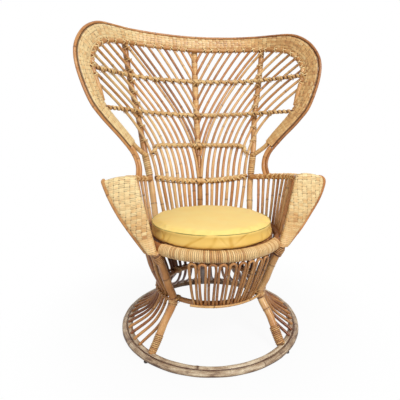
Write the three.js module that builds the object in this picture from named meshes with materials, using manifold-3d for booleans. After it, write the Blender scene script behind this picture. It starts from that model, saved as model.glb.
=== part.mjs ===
// Peacock chair: a round hourglass base of cane, a tub seat with woven arms, and a tall winged back
// of fanned spindles inside a woven band. Millimetres, +Z up, the sitter faces -Y.
// Angles go round the seat axis from the front (0) towards +X (90) to the back (180).

import * as THREE from 'three';
import { mergeVertices } from 'three/addons/utils/BufferGeometryUtils.js';
import Module from 'manifold-3d';

const wasm = await Module();
wasm.setup();

// Driving dimensions: fits
const GAP = 0.3;
const FUSE = 2.6;

// Driving dimensions: base
const BASE_RING_RADIUS = 306;
const BASE_CANE = 10;
const BASE_EDGE_CANE = 9.5;
const GLIDE_HEIGHT = 6;
const GLIDE_RADIUS = 9;
const WAIST_RING_RADIUS = 165;
const WAIST_HEIGHT = 166;
const WAIST_CANE = 9;
const BINDING_CANE = 4;
const LEG_CANE = 12;
const FRONT_LEG_FOOT_ANGLE = 46;
const BASE_TURN = -4.5;
const FRONT_LEG_WAIST_ANGLE = 50;
const FRONT_LEG_TOP_ANGLE = 53.5;
const REAR_LEG_ANGLE = 142;
const LEG_BOW = 9;
const SKIRT_CANE = 4.5;
const SKIRT_FLARE = 18;
const SIDE_SKIRT_COUNT = 12;
const REAR_SKIRT_COUNT = 4;
const LOOP_CANE = 3.5;
const LOOP_COUNT = 9;
const LOOP_PITCH = 7.3;
const FIRST_LOOP_ANGLE = -25;
const LOOP_FOOT_DROP = 9;
const COVER_CANE_START = -30;

// Driving dimensions: seat
const SEAT_RING_RADIUS = 244;
const SEAT_HEIGHT = 358;
const SEAT_CANE = 16;
const BEARER_CANE = 9;
const BEARER_SPACING = 110;
const DECK_THICKNESS = 9;
const CUSHION_INSET = 18;
const CUSHION_RADIUS = SEAT_RING_RADIUS - CUSHION_INSET;
const CUSHION_HEIGHT = 43;
const CUSHION_CROWN = 15;
const CUSHION_DRAW_IN = 3;
const PIPING = 2.5;

// Driving dimensions: arms
const ARM_RADIUS = 302;
const ARM_CENTRE_Y = 10;
const ARM_CANE = 11.5;
const ARM_RAIL_REAR_ANGLE = 134.5;
const ARM_RAIL_FRONT_ANGLE = 70;
const ARM_RAIL_REAR_HEIGHT = SEAT_HEIGHT + 170;
const ARM_RAIL_FRONT_HEIGHT = SEAT_HEIGHT + 222;
const ARM_SPINDLE_COUNT = 10;
const ARM_FOOT_HEIGHT = SEAT_HEIGHT - 30;
const ARM_TOP_HEIGHT = SEAT_HEIGHT + 232;
const ARM_FOOT_Y = -155;
const ARM_TOP_DROP = 13;
const ARM_FOOT_WIDTH = 34;
const ARM_FOOT_THICKNESS = 31;
const ARM_PANEL_THICKNESS = 20;
const ARM_FLARE = 96;
const ARM_FLARE_BULGE = 22;
const ARM_PANEL_LEAN = 0.15;
const ARM_EDGE_CANE = 5.5;

// Driving dimensions: back, level by level from the seat ring to the top of the back,
// with heights counted from the middle of the seat ring and depths from its back
const SPINDLE_CANE = 5.4;
const POST_CANE = 12.5;
const CENTRE_POST_CANE = 12;
const RAIL_CANE = 7.5;
const BACK_RISES = [0, 154, 293, 434, 578, 784];
const BACK_SETS = [0, 33, 83, 136, 183, 226];
const POST_SPREADS = [184, 201, 227, 250, 279, 304];
const WING_STARTS = [195, 212, 233, 255, 281, 306];
const BACK_SAGS = [75, 50, 43, 26, 24, 28];
const WING_TURN = 49;
const WING_BLEND = 28;
const BACK_RAIL_RISE = 146;
const BACK_RAIL_END_RISE = 25;
const LOWER_RAIL_RISE = 295;
const LOWER_RAIL_HOOK = 30;
const MIDDLE_RAIL_RISE = 424;
const UPPER_RAIL_RISE = 573;
const RAIL_END_RISE = 25;
const FAN_COUNT = 8;
const FAN_FIRST = 30;
const FAN_PITCH = 22.2;
const FAN_FOOT_SHARE = 0.87;
const FAN_LEAN = 0.53;
const FAN_LEAN_GROWTH = 0.00115;
const FAN_LEAN_START = 55;
const FAN_LEAN_FULL = 510;
const CENTRE_SPRAY_RISES = [165, 255, 328, 397, 454, 502, 560, 612, 668];

// Driving dimensions: edge of the back, as half of the rim cane's line seen from the front
const RIM_CANE = 5.5;
const FRAME_CANE = 7;
const INNER_CANE = 6.5;
const RIM_LINE = [
  [0, 773], [165, 778], [275, 784], [352, 784], [406, 774], [443, 741], [467, 688], [473, 640],
  [463, 573], [424, 467], [388, 413], [319, 328], [281, 272], [267, 227], [268, 190],
];
const BAND_END_RISE = 297;
const BAND_WALL = 2.5;
const BAND_THICKNESS = 22;
const BAND_WIDTH_TOP = 50;
const BAND_WIDTH_SIDE = 66;
const BAND_WIDTH_END = 48;

// Driving dimensions: windings of peel
const PEEL = 2;
const PEEL_GAP = 0.8;
const RIM_WINDING_TURNS = 20;
const RIM_WINDING_ANGLE = 46;
const FOOT_WINDING_TURNS = 6;
const FOOT_WINDING_START = 16;
const FOOT_PEEL_WIDTH = 8;
const POST_WINDING_TURNS = 6;
const POST_WINDING_RISE = 184;
const POST_PEEL_WIDTH = 10;
const POST_PEEL_SLACK = 0.4;

// Facet counts
const THIN = 5;
const THICK = 6;
const TURN_STEPS = 8;
const HEX_FLAT = Math.cos(Math.PI / THICK);

// Finishes
const finish = (color, roughness) => new THREE.MeshStandardMaterial({ color, roughness, metalness: 0 });
const HONEY = finish(0xb9823f, 0.5);
const AMBER = finish(0xa06a33, 0.5);
const PALE = finish(0xd8b26a, 0.55);
const DARK = finish(0x86623c, 0.6);
const YELLOW = finish(0xe3b552, 0.85);
const BLACK = finish(0x1b1a19, 0.7);

const chair = new THREE.Group();

// Small helpers
const point = (x, y, z) => new THREE.Vector3(x, y, z);
const radians = THREE.MathUtils.degToRad;
const lerp = THREE.MathUtils.lerp;
const range = (count) => Array.from({ length: count }, (_, i) => i);
const smooth = (t) => THREE.MathUtils.smoothstep(t, 0, 1);

function polar(angle, radius, z, centreY = 0) {
  return point(radius * Math.sin(radians(angle)), centreY - radius * Math.cos(radians(angle)), z);
}

// Value at a place along a list of stations, on a smooth curve through all of them
function along(stations, values, place) {
  const last = stations.length - 1;
  const slope = (i) => {
    const a = Math.max(i - 1, 0);
    const b = Math.min(i + 1, last);
    return (values[b] - values[a]) / (stations[b] - stations[a]);
  };
  if (place <= stations[0]) return values[0] + slope(0) * (place - stations[0]);
  if (place >= stations[last]) return values[last] + slope(last) * (place - stations[last]);
  const i = stations.findIndex((s, k) => place < stations[k + 1]);
  const h = stations[i + 1] - stations[i];
  const t = (place - stations[i]) / h;
  const ease = t * t * (3 - 2 * t);
  const bend = t * (1 - t) * ((1 - t) * slope(i) - t * slope(i + 1)) * h;
  return values[i] + (values[i + 1] - values[i]) * ease + bend;
}

// Solids: closed geometries joined and cut
function solidOf(geometry) {
  const bare = geometry.clone();
  bare.deleteAttribute('normal');
  bare.deleteAttribute('uv');
  const merged = mergeVertices(bare, 1e-4);
  const vertProperties = new Float32Array(merged.attributes.position.array);
  const triVerts = new Uint32Array(merged.index.array);
  return new wasm.Manifold(new wasm.Mesh({ numProp: 3, vertProperties, triVerts }));
}

function geometryOf(solid) {
  const mesh = solid.getMesh();
  const geometry = new THREE.BufferGeometry();
  geometry.setAttribute('position', new THREE.BufferAttribute(mesh.vertProperties, 3));
  geometry.setIndex(new THREE.BufferAttribute(mesh.triVerts, 1));
  geometry.computeVertexNormals();
  return geometry;
}

const join = (solids) => solids.reduce((whole, next) => whole.add(next));
const cut = (solid, ...rooms) => rooms.reduce((rest, room) => rest.subtract(room), solid);

// The main body that is left after a cut, without the shavings
function mainBody(solid) {
  return solid.decompose().sort((a, b) => b.volume() - a.volume())[0];
}

function addPart(name, solid, material) {
  const mesh = new THREE.Mesh(geometryOf(mainBody(solid)), material);
  mesh.name = name;
  chair.add(mesh);
}

// A cane bent along points
function cane(points, radius, steps, sides = THIN) {
  const corners = range(sides).map((i) => {
    const turn = (2 * Math.PI * i) / sides;
    return new THREE.Vector2(radius * Math.cos(turn), radius * Math.sin(turn));
  });
  const extrudePath = new THREE.CatmullRomCurve3(points, false, 'centripetal');
  const options = { steps, extrudePath, bevelEnabled: false };
  return solidOf(new THREE.ExtrudeGeometry(new THREE.Shape(corners), options));
}

// A cane and the room that its neighbours leave for it
function caneWithRoom(points, radius, steps, sides = THICK) {
  return { body: cane(points, radius, steps, sides), room: cane(points, radius + GAP, steps, sides) };
}

function ring(radius, tube, z, segments) {
  const geometry = new THREE.TorusGeometry(radius, tube, THICK, segments);
  return solidOf(geometry.translate(0, 0, z));
}

function ringWithRoom(radius, tube, z, segments) {
  return { body: ring(radius, tube, z, segments), room: ring(radius, tube + GAP, z, segments) };
}

// A skin through closed rings of points, with flat ends
function loft(rings) {
  const count = rings[0].length;
  const positions = rings.flat().flatMap((p) => [p.x, p.y, p.z]);
  const index = [];
  for (let r = 0; r + 1 < rings.length; r += 1) {
    for (let i = 0; i < count; i += 1) {
      const a = r * count + i;
      const b = r * count + ((i + 1) % count);
      index.push(a, b, b + count, a, b + count, a + count);
    }
  }
  const top = (rings.length - 1) * count;
  for (let i = 1; i + 1 < count; i += 1) {
    index.push(0, i + 1, i, top, top + i, top + i + 1);
  }
  const geometry = new THREE.BufferGeometry();
  geometry.setAttribute('position', new THREE.Float32BufferAttribute(positions, 3));
  geometry.setIndex(index);
  const solid = solidOf(geometry);
  if (solid.volume() > 0) return solid;
  geometry.setIndex(index.reverse());
  return solidOf(geometry);
}

// A strip of peel wound round a core, as one unbroken tube of rectangular section
function winding(name, core, coreRadius, from, length, turns, width, slack = 0) {
  const steps = turns * TURN_STEPS;
  const total = core.getLength();
  const inner = (coreRadius + GAP + slack) / Math.cos(Math.PI / TURN_STEPS);
  let across = point(0, 0, 1);
  const rings = range(steps + 1).map((i) => {
    const place = Math.min((from + (length * i) / steps) / total, 1);
    const middle = core.getPointAt(place);
    const forward = core.getTangentAt(place);
    across = across.clone().addScaledVector(forward, -across.dot(forward)).normalize();
    const side = forward.clone().cross(across);
    const turn = (2 * Math.PI * i) / TURN_STEPS;
    const out = across.clone().multiplyScalar(Math.cos(turn)).addScaledVector(side, Math.sin(turn));
    const corner = (w, r) => middle.clone().addScaledVector(forward, w).addScaledVector(out, r);
    const half = width / 2;
    const outer = inner + PEEL;
    return [corner(-half, inner), corner(half, inner), corner(half, outer), corner(-half, outer)];
  });
  let least = Infinity;
  for (let i = 0; i + TURN_STEPS <= steps; i += 1) {
    for (const a of rings[i]) {
      for (const b of rings[i + TURN_STEPS]) least = Math.min(least, a.distanceTo(b));
    }
  }
  console.log(`${name}: least gap between turns ${least.toFixed(2)} mm`);
  return loft(rings);
}

// Base rings and glides
const baseHeight = GLIDE_HEIGHT + GAP + BASE_CANE * HEX_FLAT;
const baseEdgeRadius = BASE_RING_RADIUS + BASE_CANE + GAP + BASE_EDGE_CANE;
const baseRing = ringWithRoom(BASE_RING_RADIUS, BASE_CANE, baseHeight, 32);
const baseEdgeHeight = GLIDE_HEIGHT + GAP + BASE_EDGE_CANE * HEX_FLAT;
const baseEdge = ringWithRoom(baseEdgeRadius, BASE_EDGE_CANE, baseEdgeHeight, 32);
addPart('base_ring', baseRing.body, DARK);
addPart('base_edge_ring', baseEdge.body, DARK);

// Waist and seat rings
const waistRing = ringWithRoom(WAIST_RING_RADIUS, WAIST_CANE, WAIST_HEIGHT, 24);
const SEAT_SEGMENTS = 36;
const seatRing = ringWithRoom(SEAT_RING_RADIUS, SEAT_CANE, SEAT_HEIGHT, SEAT_SEGMENTS);
addPart('waist_ring', waistRing.body, AMBER);
addPart('seat_ring', seatRing.body, AMBER);
const besideWaist = (radius) => WAIST_RING_RADIUS + WAIST_CANE + GAP + radius;
const besideSeat = (radius) => SEAT_RING_RADIUS + SEAT_CANE + GAP + radius;

// Legs: straight from the base ring to the waist, then bowed out to the seat.
// The base is turned a little against the seat.
const LEG_TOP_STUB = 14;
function legLine(foot, waist, top) {
  const atWaist = besideWaist(LEG_CANE);
  const atSeat = besideSeat(LEG_CANE);
  const bowed = (t) => lerp(atWaist, atSeat, t) - LEG_BOW * Math.sin(Math.PI * t);
  const above = (t) => polar(lerp(waist, top, t), bowed(t), lerp(WAIST_HEIGHT, SEAT_HEIGHT, t));
  const below = (t) => {
    const radius = lerp(atWaist, BASE_RING_RADIUS - BASE_CANE / 3, t);
    return polar(lerp(waist, foot, t), radius, lerp(WAIST_HEIGHT, baseHeight + BASE_CANE / 2, t));
  };
  const end = polar(top, atSeat, SEAT_HEIGHT + LEG_TOP_STUB);
  return [below(1), below(0.5), below(0), above(0.35), above(0.7), above(1), end];
}

const LEG_STEPS = 9;
const legAngles = {
  front_left: [BASE_TURN - FRONT_LEG_FOOT_ANGLE, -FRONT_LEG_WAIST_ANGLE, -FRONT_LEG_TOP_ANGLE],
  front_right: [BASE_TURN + FRONT_LEG_FOOT_ANGLE, FRONT_LEG_WAIST_ANGLE, FRONT_LEG_TOP_ANGLE],
  rear_left: [BASE_TURN - REAR_LEG_ANGLE, -REAR_LEG_ANGLE, -REAR_LEG_ANGLE],
  rear_right: [BASE_TURN + REAR_LEG_ANGLE, REAR_LEG_ANGLE, REAR_LEG_ANGLE],
};
const legs = {};
for (const [place, [foot, waist, top]] of Object.entries(legAngles)) {
  const line = legLine(foot, waist, top);
  const leg = caneWithRoom(line, LEG_CANE, LEG_STEPS);
  legs[place] = { ...leg, line };
  addPart(`leg_${place}`, cut(leg.body, baseRing.room, baseEdge.room, waistRing.room, seatRing.room), HONEY);

  const pad = new THREE.CylinderGeometry(GLIDE_RADIUS, GLIDE_RADIUS, GLIDE_HEIGHT, 10);
  const under = polar(foot, baseEdgeRadius + GLIDE_RADIUS / 3, GLIDE_HEIGHT / 2);
  pad.rotateX(Math.PI / 2).translate(under.x, under.y, under.z);
  addPart(`glide_${place}`, solidOf(pad), BLACK);
}

// Windings of peel on the feet of the front legs
const footLength = FOOT_WINDING_TURNS * (FOOT_PEEL_WIDTH + PEEL_GAP);
for (const [place, leg] of Object.entries(legs).slice(0, 2)) {
  const core = new THREE.CatmullRomCurve3(leg.line, false, 'centripetal');
  const name = `foot_winding_${place}`;
  const turns = FOOT_WINDING_TURNS;
  const peel = winding(name, core, LEG_CANE, FOOT_WINDING_START, footLength, turns, FOOT_PEEL_WIDTH);
  addPart(name, cut(peel, baseRing.room, baseEdge.room), PALE);
}

const above = (rise) => SEAT_HEIGHT + rise;
const BACK_LEVELS = BACK_RISES.map(above);
const BACK_DEPTHS = BACK_SETS.map((set) => SEAT_RING_RADIUS + set);
const BAND_END_HEIGHT = above(BAND_END_RISE);

// The back's surface: nearly flat between the posts, turned forward past them
const WING_SLOPE = Math.tan(radians(WING_TURN));
const postSpread = (z) => along(BACK_LEVELS, POST_SPREADS, z);
const wingStart = (z) => along(BACK_LEVELS, WING_STARTS, z);
function backDepth(x, z) {
  const start = wingStart(z);
  const sag = along(BACK_LEVELS, BACK_SAGS, z) * (x / start) ** 2;
  const past = WING_BLEND * Math.log1p(Math.exp((Math.abs(x) - start) / WING_BLEND));
  return along(BACK_LEVELS, BACK_DEPTHS, z) - sag - WING_SLOPE * past;
}

function backFront(x, z) {
  const acrossSlope = (backDepth(x + 1, z) - backDepth(x - 1, z)) / 2;
  const upSlope = (backDepth(x, z + 1) - backDepth(x, z - 1)) / 2;
  return point(acrossSlope, -1, upSlope).normalize();
}

const onBack = (x, z, lift = 0) => point(x, backDepth(x, z), z).addScaledVector(backFront(x, z), lift);

// The rim line on the back, and lines inset from it towards the middle of the back
const mirrored = RIM_LINE.slice(1).map(([x, rise]) => [-x, rise]).reverse();
const rimPoints = [...mirrored, ...RIM_LINE].map(([x, rise]) => point(x, 0, above(rise)));
const rimCurve = new THREE.CatmullRomCurve3(rimPoints);
const BACK_MIDDLE = point(0, 0, BACK_LEVELS[3]);
function onRim(place, inset, lift = 0) {
  const at = rimCurve.getPointAt(THREE.MathUtils.clamp(place, 0, 1));
  const forward = rimCurve.getTangentAt(THREE.MathUtils.clamp(place, 0, 1));
  const here = onBack(at.x, at.z);
  const ahead = onBack(at.x + forward.x, at.z + forward.z);
  const inward = ahead.sub(here).normalize().cross(backFront(at.x, at.z));
  if (inward.dot(BACK_MIDDLE.clone().sub(at)) < 0) inward.negate();
  const moved = here.addScaledVector(inward, inset);
  return onBack(moved.x, moved.z, lift);
}

// The band's stretch of the rim, from its lower left end to its lower right end
const samples = range(401).map((i) => i / 400);
const bandStart = samples.find((place) => rimCurve.getPointAt(place).z > BAND_END_HEIGHT);
const bandPlace = (t) => lerp(bandStart, 1 - bandStart, t);
const bandOuter = RIM_CANE + GAP;
function bandWidth(t) {
  const fromTop = Math.abs(2 * t - 1);
  const widths = [BAND_WIDTH_TOP, BAND_WIDTH_TOP, BAND_WIDTH_SIDE, BAND_WIDTH_SIDE, BAND_WIDTH_END];
  return along([0, 0.28, 0.5, 0.72, 1], widths, fromTop);
}

// Stations along the band, closer together where the rim bends
const BAND_STEPS = 28;
const BEND_WEIGHT = 0.15;
function bandStations() {
  const costs = [0];
  for (let i = 1; i < samples.length; i += 1) {
    const before = rimCurve.getTangentAt(bandPlace(samples[i - 1]));
    const after = rimCurve.getTangentAt(bandPlace(samples[i]));
    costs.push(costs[i - 1] + samples[1] + BEND_WEIGHT * before.angleTo(after));
  }
  const total = costs[costs.length - 1];
  const half = range(BAND_STEPS / 2).map((i) => {
    return samples[costs.findIndex((cost) => cost >= (total * i) / BAND_STEPS)];
  });
  return [...half, 0.5, ...half.map((t) => 1 - t).reverse()];
}

const stations = bandStations();
const edgeTuck = BAND_THICKNESS * 0.4;
function bandSection(t, grow) {
  const outer = bandOuter - grow;
  const inner = bandOuter + bandWidth(t) + grow;
  const half = BAND_THICKNESS / 2 + grow;
  const tuck = edgeTuck + grow / 2;
  const at = (inset, lift) => onRim(bandPlace(t), inset, lift);
  return [
    at(outer, 0), at(outer + tuck, half), at(inner - tuck, half),
    at(inner, 0), at(inner - tuck, -half), at(outer + tuck, -half),
  ];
}

function bandSkin(grow, reach = 0) {
  const places = reach > 0 ? [-reach, ...stations, 1 + reach] : stations;
  return loft(places.map((t) => bandSection(t, grow)));
}

// Canes inside the band lie in the narrowing edges of its hollow
const cavityHalf = BAND_THICKNESS / 2 - BAND_WALL;
const cavityTip = Math.sin(Math.atan2(cavityHalf, edgeTuck - BAND_WALL / 2));
const tipInset = (radius) => BAND_WALL + (radius + GAP) / cavityTip;
const innerInset = (t) => bandOuter + bandWidth(t) - tipInset(INNER_CANE);
const innerAt = (place) => innerInset((place - bandStart) / (1 - 2 * bandStart));

// The inner cane leaves the band at both ends to meet the side posts
const innerEnds = [[0, -1], [1, 1]].map(([t, side]) => {
  const atPost = BAND_END_HEIGHT - 5 * INNER_CANE;
  const beside = onBack(side * (postSpread(atPost) + POST_CANE / 2), atPost, -POST_CANE / 2);
  const start = [0.004, -0.012].map((past) => {
    const spot = lerp(t, 0.5, past);
    return onRim(bandPlace(spot), innerInset(spot));
  });
  return caneWithRoom([...start, beside], INNER_CANE, 4, THIN);
});

const bandRoom = bandSkin(GAP);
const endRooms = innerEnds.map((end) => end.room);
addPart('back_band', cut(bandSkin(0), bandSkin(-BAND_WALL, 0.01), ...endRooms), PALE);

// Where the open back ends at the band's inner edge
const edgeAngles = [];
const edgeReaches = [];
for (const i of range(41)) {
  const t = 0.5 + i / 80;
  const edge = onRim(bandPlace(t), bandOuter + bandWidth(t));
  edgeAngles.push(Math.atan2(edge.x, edge.z - BACK_MIDDLE.z));
  edgeReaches.push(Math.hypot(edge.x, edge.z - BACK_MIDDLE.z));
}
function roomToBand(x, z) {
  const dx = Math.abs(x);
  const dz = z - BACK_MIDDLE.z;
  const angle = Math.atan2(dx, dz);
  if (angle > edgeAngles[edgeAngles.length - 1]) return Infinity;
  return along(edgeAngles, edgeReaches, angle) - Math.hypot(dx, dz);
}

// Posts behind the spindles, with the winding that covers their lower part
const RING_SEAT = 8;
const POST_POINTS = 9;
const postTop = BACK_LEVELS[5] - BAND_WIDTH_TOP - RIM_CANE;
const behind = (radius) => -(radius + SPINDLE_CANE + GAP);
function postLine(side) {
  return range(POST_POINTS).map((i) => {
    const z = lerp(SEAT_HEIGHT + RING_SEAT, postTop, i / (POST_POINTS - 1));
    return onBack(side * postSpread(z), z, behind(POST_CANE));
  });
}

const sides = { left: -1, right: 1 };
const posts = {};
for (const [place, side] of Object.entries(sides)) {
  const line = postLine(side);
  posts[place] = { ...caneWithRoom(line, POST_CANE, 14), line };
}

const postRooms = Object.values(posts).map((post) => post.room);

// The centre post runs from the base ring past the waist and the seat to the band
const centreHeights = range(8).map((i) => lerp(above(72), postTop, i / 7));
const centreWaist = besideWaist(CENTRE_POST_CANE);
const centreSeat = besideSeat(CENTRE_POST_CANE);
const centreLine = [
  polar(180 + BASE_TURN, BASE_RING_RADIUS - BASE_CANE / 3, baseHeight + BASE_CANE / 2),
  polar(180 + BASE_TURN / 2, lerp(BASE_RING_RADIUS, centreWaist, 0.5), lerp(baseHeight, WAIST_HEIGHT, 0.5)),
  polar(180, centreWaist, WAIST_HEIGHT),
  polar(180, lerp(centreWaist, centreSeat, 0.4), lerp(WAIST_HEIGHT, SEAT_HEIGHT, 0.41)),
  polar(180, centreSeat, SEAT_HEIGHT),
  ...centreHeights.map((z) => onBack(0, z, behind(CENTRE_POST_CANE))),
];
const centrePost = caneWithRoom(centreLine, CENTRE_POST_CANE, 20);

// Rails in front of the spindles
function railLine(halfWidth, height, rise, lift, from = -1) {
  const spots = range(9).map((i) => lerp(from, 1, i / 8));
  return spots.map((s) => onBack(s * halfWidth, height + rise * s * s, lift));
}

const overSpindles = SPINDLE_CANE + GAP + RAIL_CANE;
const RAIL_END_CLEARANCE = 8;
function railReach(height) {
  let x = postSpread(height);
  while (roomToBand(x, height) > RAIL_END_CLEARANCE) x += 1;
  return x;
}

const upperRails = { rail_upper: UPPER_RAIL_RISE, rail_middle: MIDDLE_RAIL_RISE };
const railRooms = [];
for (const [name, rise] of Object.entries(upperRails)) {
  const height = above(rise);
  const line = railLine(railReach(height + RAIL_END_RISE), height, RAIL_END_RISE, overSpindles);
  addPart(name, cane(line, RAIL_CANE, 12), HONEY);
  railRooms.push(cane(line, RAIL_CANE + GAP, 12));
}

// The lower rail ends beside the posts, with both ends hooked down
const lowerRailHeight = above(LOWER_RAIL_RISE);
const lowerRailHalf = postSpread(lowerRailHeight) - POST_CANE - RAIL_CANE;
const hook = (side) => [[0.94, 0.2], [1, 1]].map(([share, drop]) => {
  return onBack(side * share * lowerRailHalf, lowerRailHeight - drop * LOWER_RAIL_HOOK, overSpindles);
});
const straight = railLine(lowerRailHalf * 0.84, lowerRailHeight, 0, overSpindles);
const lowerRail = [...hook(-1).reverse(), ...straight, ...hook(1)];
addPart('rail_lower', cane(lowerRail, RAIL_CANE, 14), HONEY);
railRooms.push(cane(lowerRail, RAIL_CANE + GAP, 14));

// Spindles lean outward more and more as they climb, the outer ones most
function fanLean(x, z) {
  const grown = smooth((z - above(FAN_LEAN_START)) / (FAN_LEAN_FULL - FAN_LEAN_START));
  return grown * (FAN_LEAN + FAN_LEAN_GROWTH * x);
}

const CLIMB = 4;
const BAND_BITE = 10;
function climb(x, z, lean) {
  const track = [[x, z]];
  while (roomToBand(x, z) > -BAND_BITE && z < BACK_LEVELS[5]) {
    x += CLIMB * lean(x, z);
    z += CLIMB;
    track.push([x, z]);
  }
  return track;
}

// A few evenly spaced points of a track
function thin(track, count) {
  return range(count).map((i) => track[Math.round((i * (track.length - 1)) / (count - 1))]);
}

const ROOT_DIP = 7;
function sprayCane(side, track, dip, steps) {
  const points = thin(track, steps + 1).map(([x, z], i) => onBack(side * x, z, i === 0 ? -dip : 0));
  return cut(cane(points, SPINDLE_CANE, steps), bandRoom, ...railRooms);
}

// Canes that spring from the centre post
const centreSprays = [];
for (const side of Object.values(sides)) {
  for (const rise of CENTRE_SPRAY_RISES) {
    const track = climb(CENTRE_POST_CANE * 0.5, above(rise), fanLean);
    centreSprays.push(mainBody(sprayCane(side, track, ROOT_DIP, 4)));
  }
}
const postBody = cut(centrePost.body, baseRing.room, baseEdge.room, bandRoom);
addPart('centre_post', join([mainBody(postBody), ...centreSprays]), AMBER);

// Side posts, which the outer spindles cross on their way into the wings
for (const place of Object.keys(sides)) {
  addPart(`post_${place}`, cut(posts[place].body, seatRing.room, bandRoom), HONEY);
}

// Fans: canes from the seat ring through the back rail up to the band, fused to their half of that rail
const backRailHeight = above(BACK_RAIL_RISE);
const fanHalf = postSpread(backRailHeight);
const fanFoot = SEAT_HEIGHT + SEAT_CANE + 3 * GAP;
for (const [place, side] of Object.entries(sides)) {
  const canes = range(FAN_COUNT).map((i) => {
    const x = FAN_FIRST + FAN_PITCH * i;
    const upper = thin(climb(x, backRailHeight, fanLean), 8);
    const halfway = [x * (1 + FAN_FOOT_SHARE) / 2, (fanFoot + backRailHeight) / 2];
    const lower = [[x * FAN_FOOT_SHARE, fanFoot], halfway];
    const points = [...lower, ...upper].map(([px, pz]) => onBack(side * px, pz));
    return mainBody(cut(cane(points, SPINDLE_CANE, 7), bandRoom, ...railRooms, ...postRooms));
  });
  const lift = SPINDLE_CANE + RAIL_CANE - FUSE;
  const line = railLine(side * fanHalf, backRailHeight, BACK_RAIL_END_RISE, lift, GAP / fanHalf);
  addPart(`fan_${place}`, join([cane(line, RAIL_CANE, 8, THICK), ...canes]), HONEY);
}

// Windings of peel on the side posts, above the arms
const postWindingLength = POST_WINDING_TURNS * (POST_PEEL_WIDTH + PEEL_GAP);
for (const place of Object.keys(sides)) {
  const core = new THREE.CatmullRomCurve3(posts[place].line, false, 'centripetal');
  const start = samples.find((s) => core.getPointAt(s).z > above(POST_WINDING_RISE)) * core.getLength();
  const name = `post_winding_${place}`;
  const turns = POST_WINDING_TURNS;
  const width = POST_PEEL_WIDTH;
  const peel = winding(name, core, POST_CANE, start, postWindingLength, turns, width, POST_PEEL_SLACK);
  addPart(name, peel, PALE);
}

// Arm panels: woven sleeves that flare from the leg's top to the front of the arm
const armPanelY = (z) => ARM_FOOT_Y + ARM_PANEL_LEAN * (z - ARM_FOOT_HEIGHT);
const footMiddle = polar(FRONT_LEG_TOP_ANGLE, besideSeat(LEG_CANE) - 8, 0).x;
const topInner = polar(ARM_RAIL_FRONT_ANGLE, ARM_RADIUS, 0, ARM_CENTRE_Y).x;
function armEdges(t) {
  const footInner = footMiddle - ARM_FOOT_WIDTH / 2;
  const inner = lerp(footInner, topInner - ARM_CANE - PEEL, t);
  const width = lerp(ARM_FOOT_WIDTH, ARM_FLARE, t) + ARM_FLARE_BULGE * Math.sin(Math.PI * t);
  return { inner, outer: inner + width };
}

const ARM_LEVELS = 9;
function armPanel(side, grow) {
  const rings = range(ARM_LEVELS).map((i) => {
    const t = i / (ARM_LEVELS - 1);
    const { inner, outer } = armEdges(t);
    const half = lerp(ARM_FOOT_THICKNESS, ARM_PANEL_THICKNESS, smooth(t * 2.5)) / 2 + grow;
    const z = lerp(ARM_FOOT_HEIGHT - grow, ARM_TOP_HEIGHT + grow, t);
    const spots = [[0, 0], [0.16, 1], [0.5, 1.1], [0.84, 1], [1, 0], [0.84, -1], [0.5, -1.1], [0.16, -1]];
    return spots.map(([share, thick]) => {
      const height = z - ARM_TOP_DROP * share * t;
      const x = lerp(inner - grow, outer + grow, share);
      return point(side * x, armPanelY(height) - thick * half, height);
    });
  });
  return loft(rings);
}

// Arm rails with their spindles
function armRailLine(side) {
  return range(7).map((i) => {
    const t = i / 6;
    const angle = lerp(ARM_RAIL_REAR_ANGLE, ARM_RAIL_FRONT_ANGLE - 6, t);
    const height = lerp(ARM_RAIL_REAR_HEIGHT, ARM_RAIL_FRONT_HEIGHT, t);
    return polar(side * angle, ARM_RADIUS, height, ARM_CENTRE_Y);
  });
}

const ARM_STEPS = 10;
const SPINDLE_SEAT_FRONT = 62;
const SPINDLE_SEAT_REAR = 125;
const armRails = {};
for (const [place, side] of Object.entries(sides)) {
  const panelRoom = armPanel(side, GAP);
  const line = armRailLine(side);
  const curve = new THREE.CatmullRomCurve3(line, false, 'centripetal');
  armRails[place] = caneWithRoom(line, ARM_CANE, ARM_STEPS);
  const spindles = range(ARM_SPINDLE_COUNT).map((i) => {
    const t = (i + 1) / (ARM_SPINDLE_COUNT + 1);
    const head = curve.getPointAt(lerp(0.02, 0.9, t));
    const turn = lerp(SPINDLE_SEAT_REAR, SPINDLE_SEAT_FRONT, t);
    const foot = polar(side * turn, SEAT_RING_RADIUS + SPINDLE_CANE, fanFoot + GAP);
    return cane([foot, head], SPINDLE_CANE, 1);
  });
  const rail = mainBody(cut(armRails[place].body, posts[place].room, panelRoom));
  addPart(`arm_rail_${place}`, cut(join([rail, ...spindles]), panelRoom, posts[place].room), HONEY);
  addPart(`arm_panel_${place}`, cut(armPanel(side, 0), legs[`front_${place}`].room, seatRing.room), PALE);

  const edge = range(7).map((i) => {
    const t = lerp(0.02, 1, i / 6);
    const height = lerp(ARM_FOOT_HEIGHT, ARM_TOP_HEIGHT, t) - ARM_TOP_DROP * t;
    return point(side * (armEdges(t).outer + ARM_EDGE_CANE + GAP), armPanelY(height), height);
  });
  addPart(`arm_edge_${place}`, cut(cane(edge, ARM_EDGE_CANE, 12), panelRoom), AMBER);
}

// Canes along the edge of the back: the rim outside, the frame and the inner cane inside the band
const armRailRooms = Object.values(armRails).map((rail) => rail.room);
const LOWER_STEPS = 5;
function edgeCane(places, inset, radius, count) {
  const section = (place) => range(count).map((i) => {
    const turn = (2 * Math.PI * i) / count;
    return onRim(place, inset(place) + radius * Math.cos(turn), radius * Math.sin(turn));
  });
  return loft(places.map(section));
}

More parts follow.
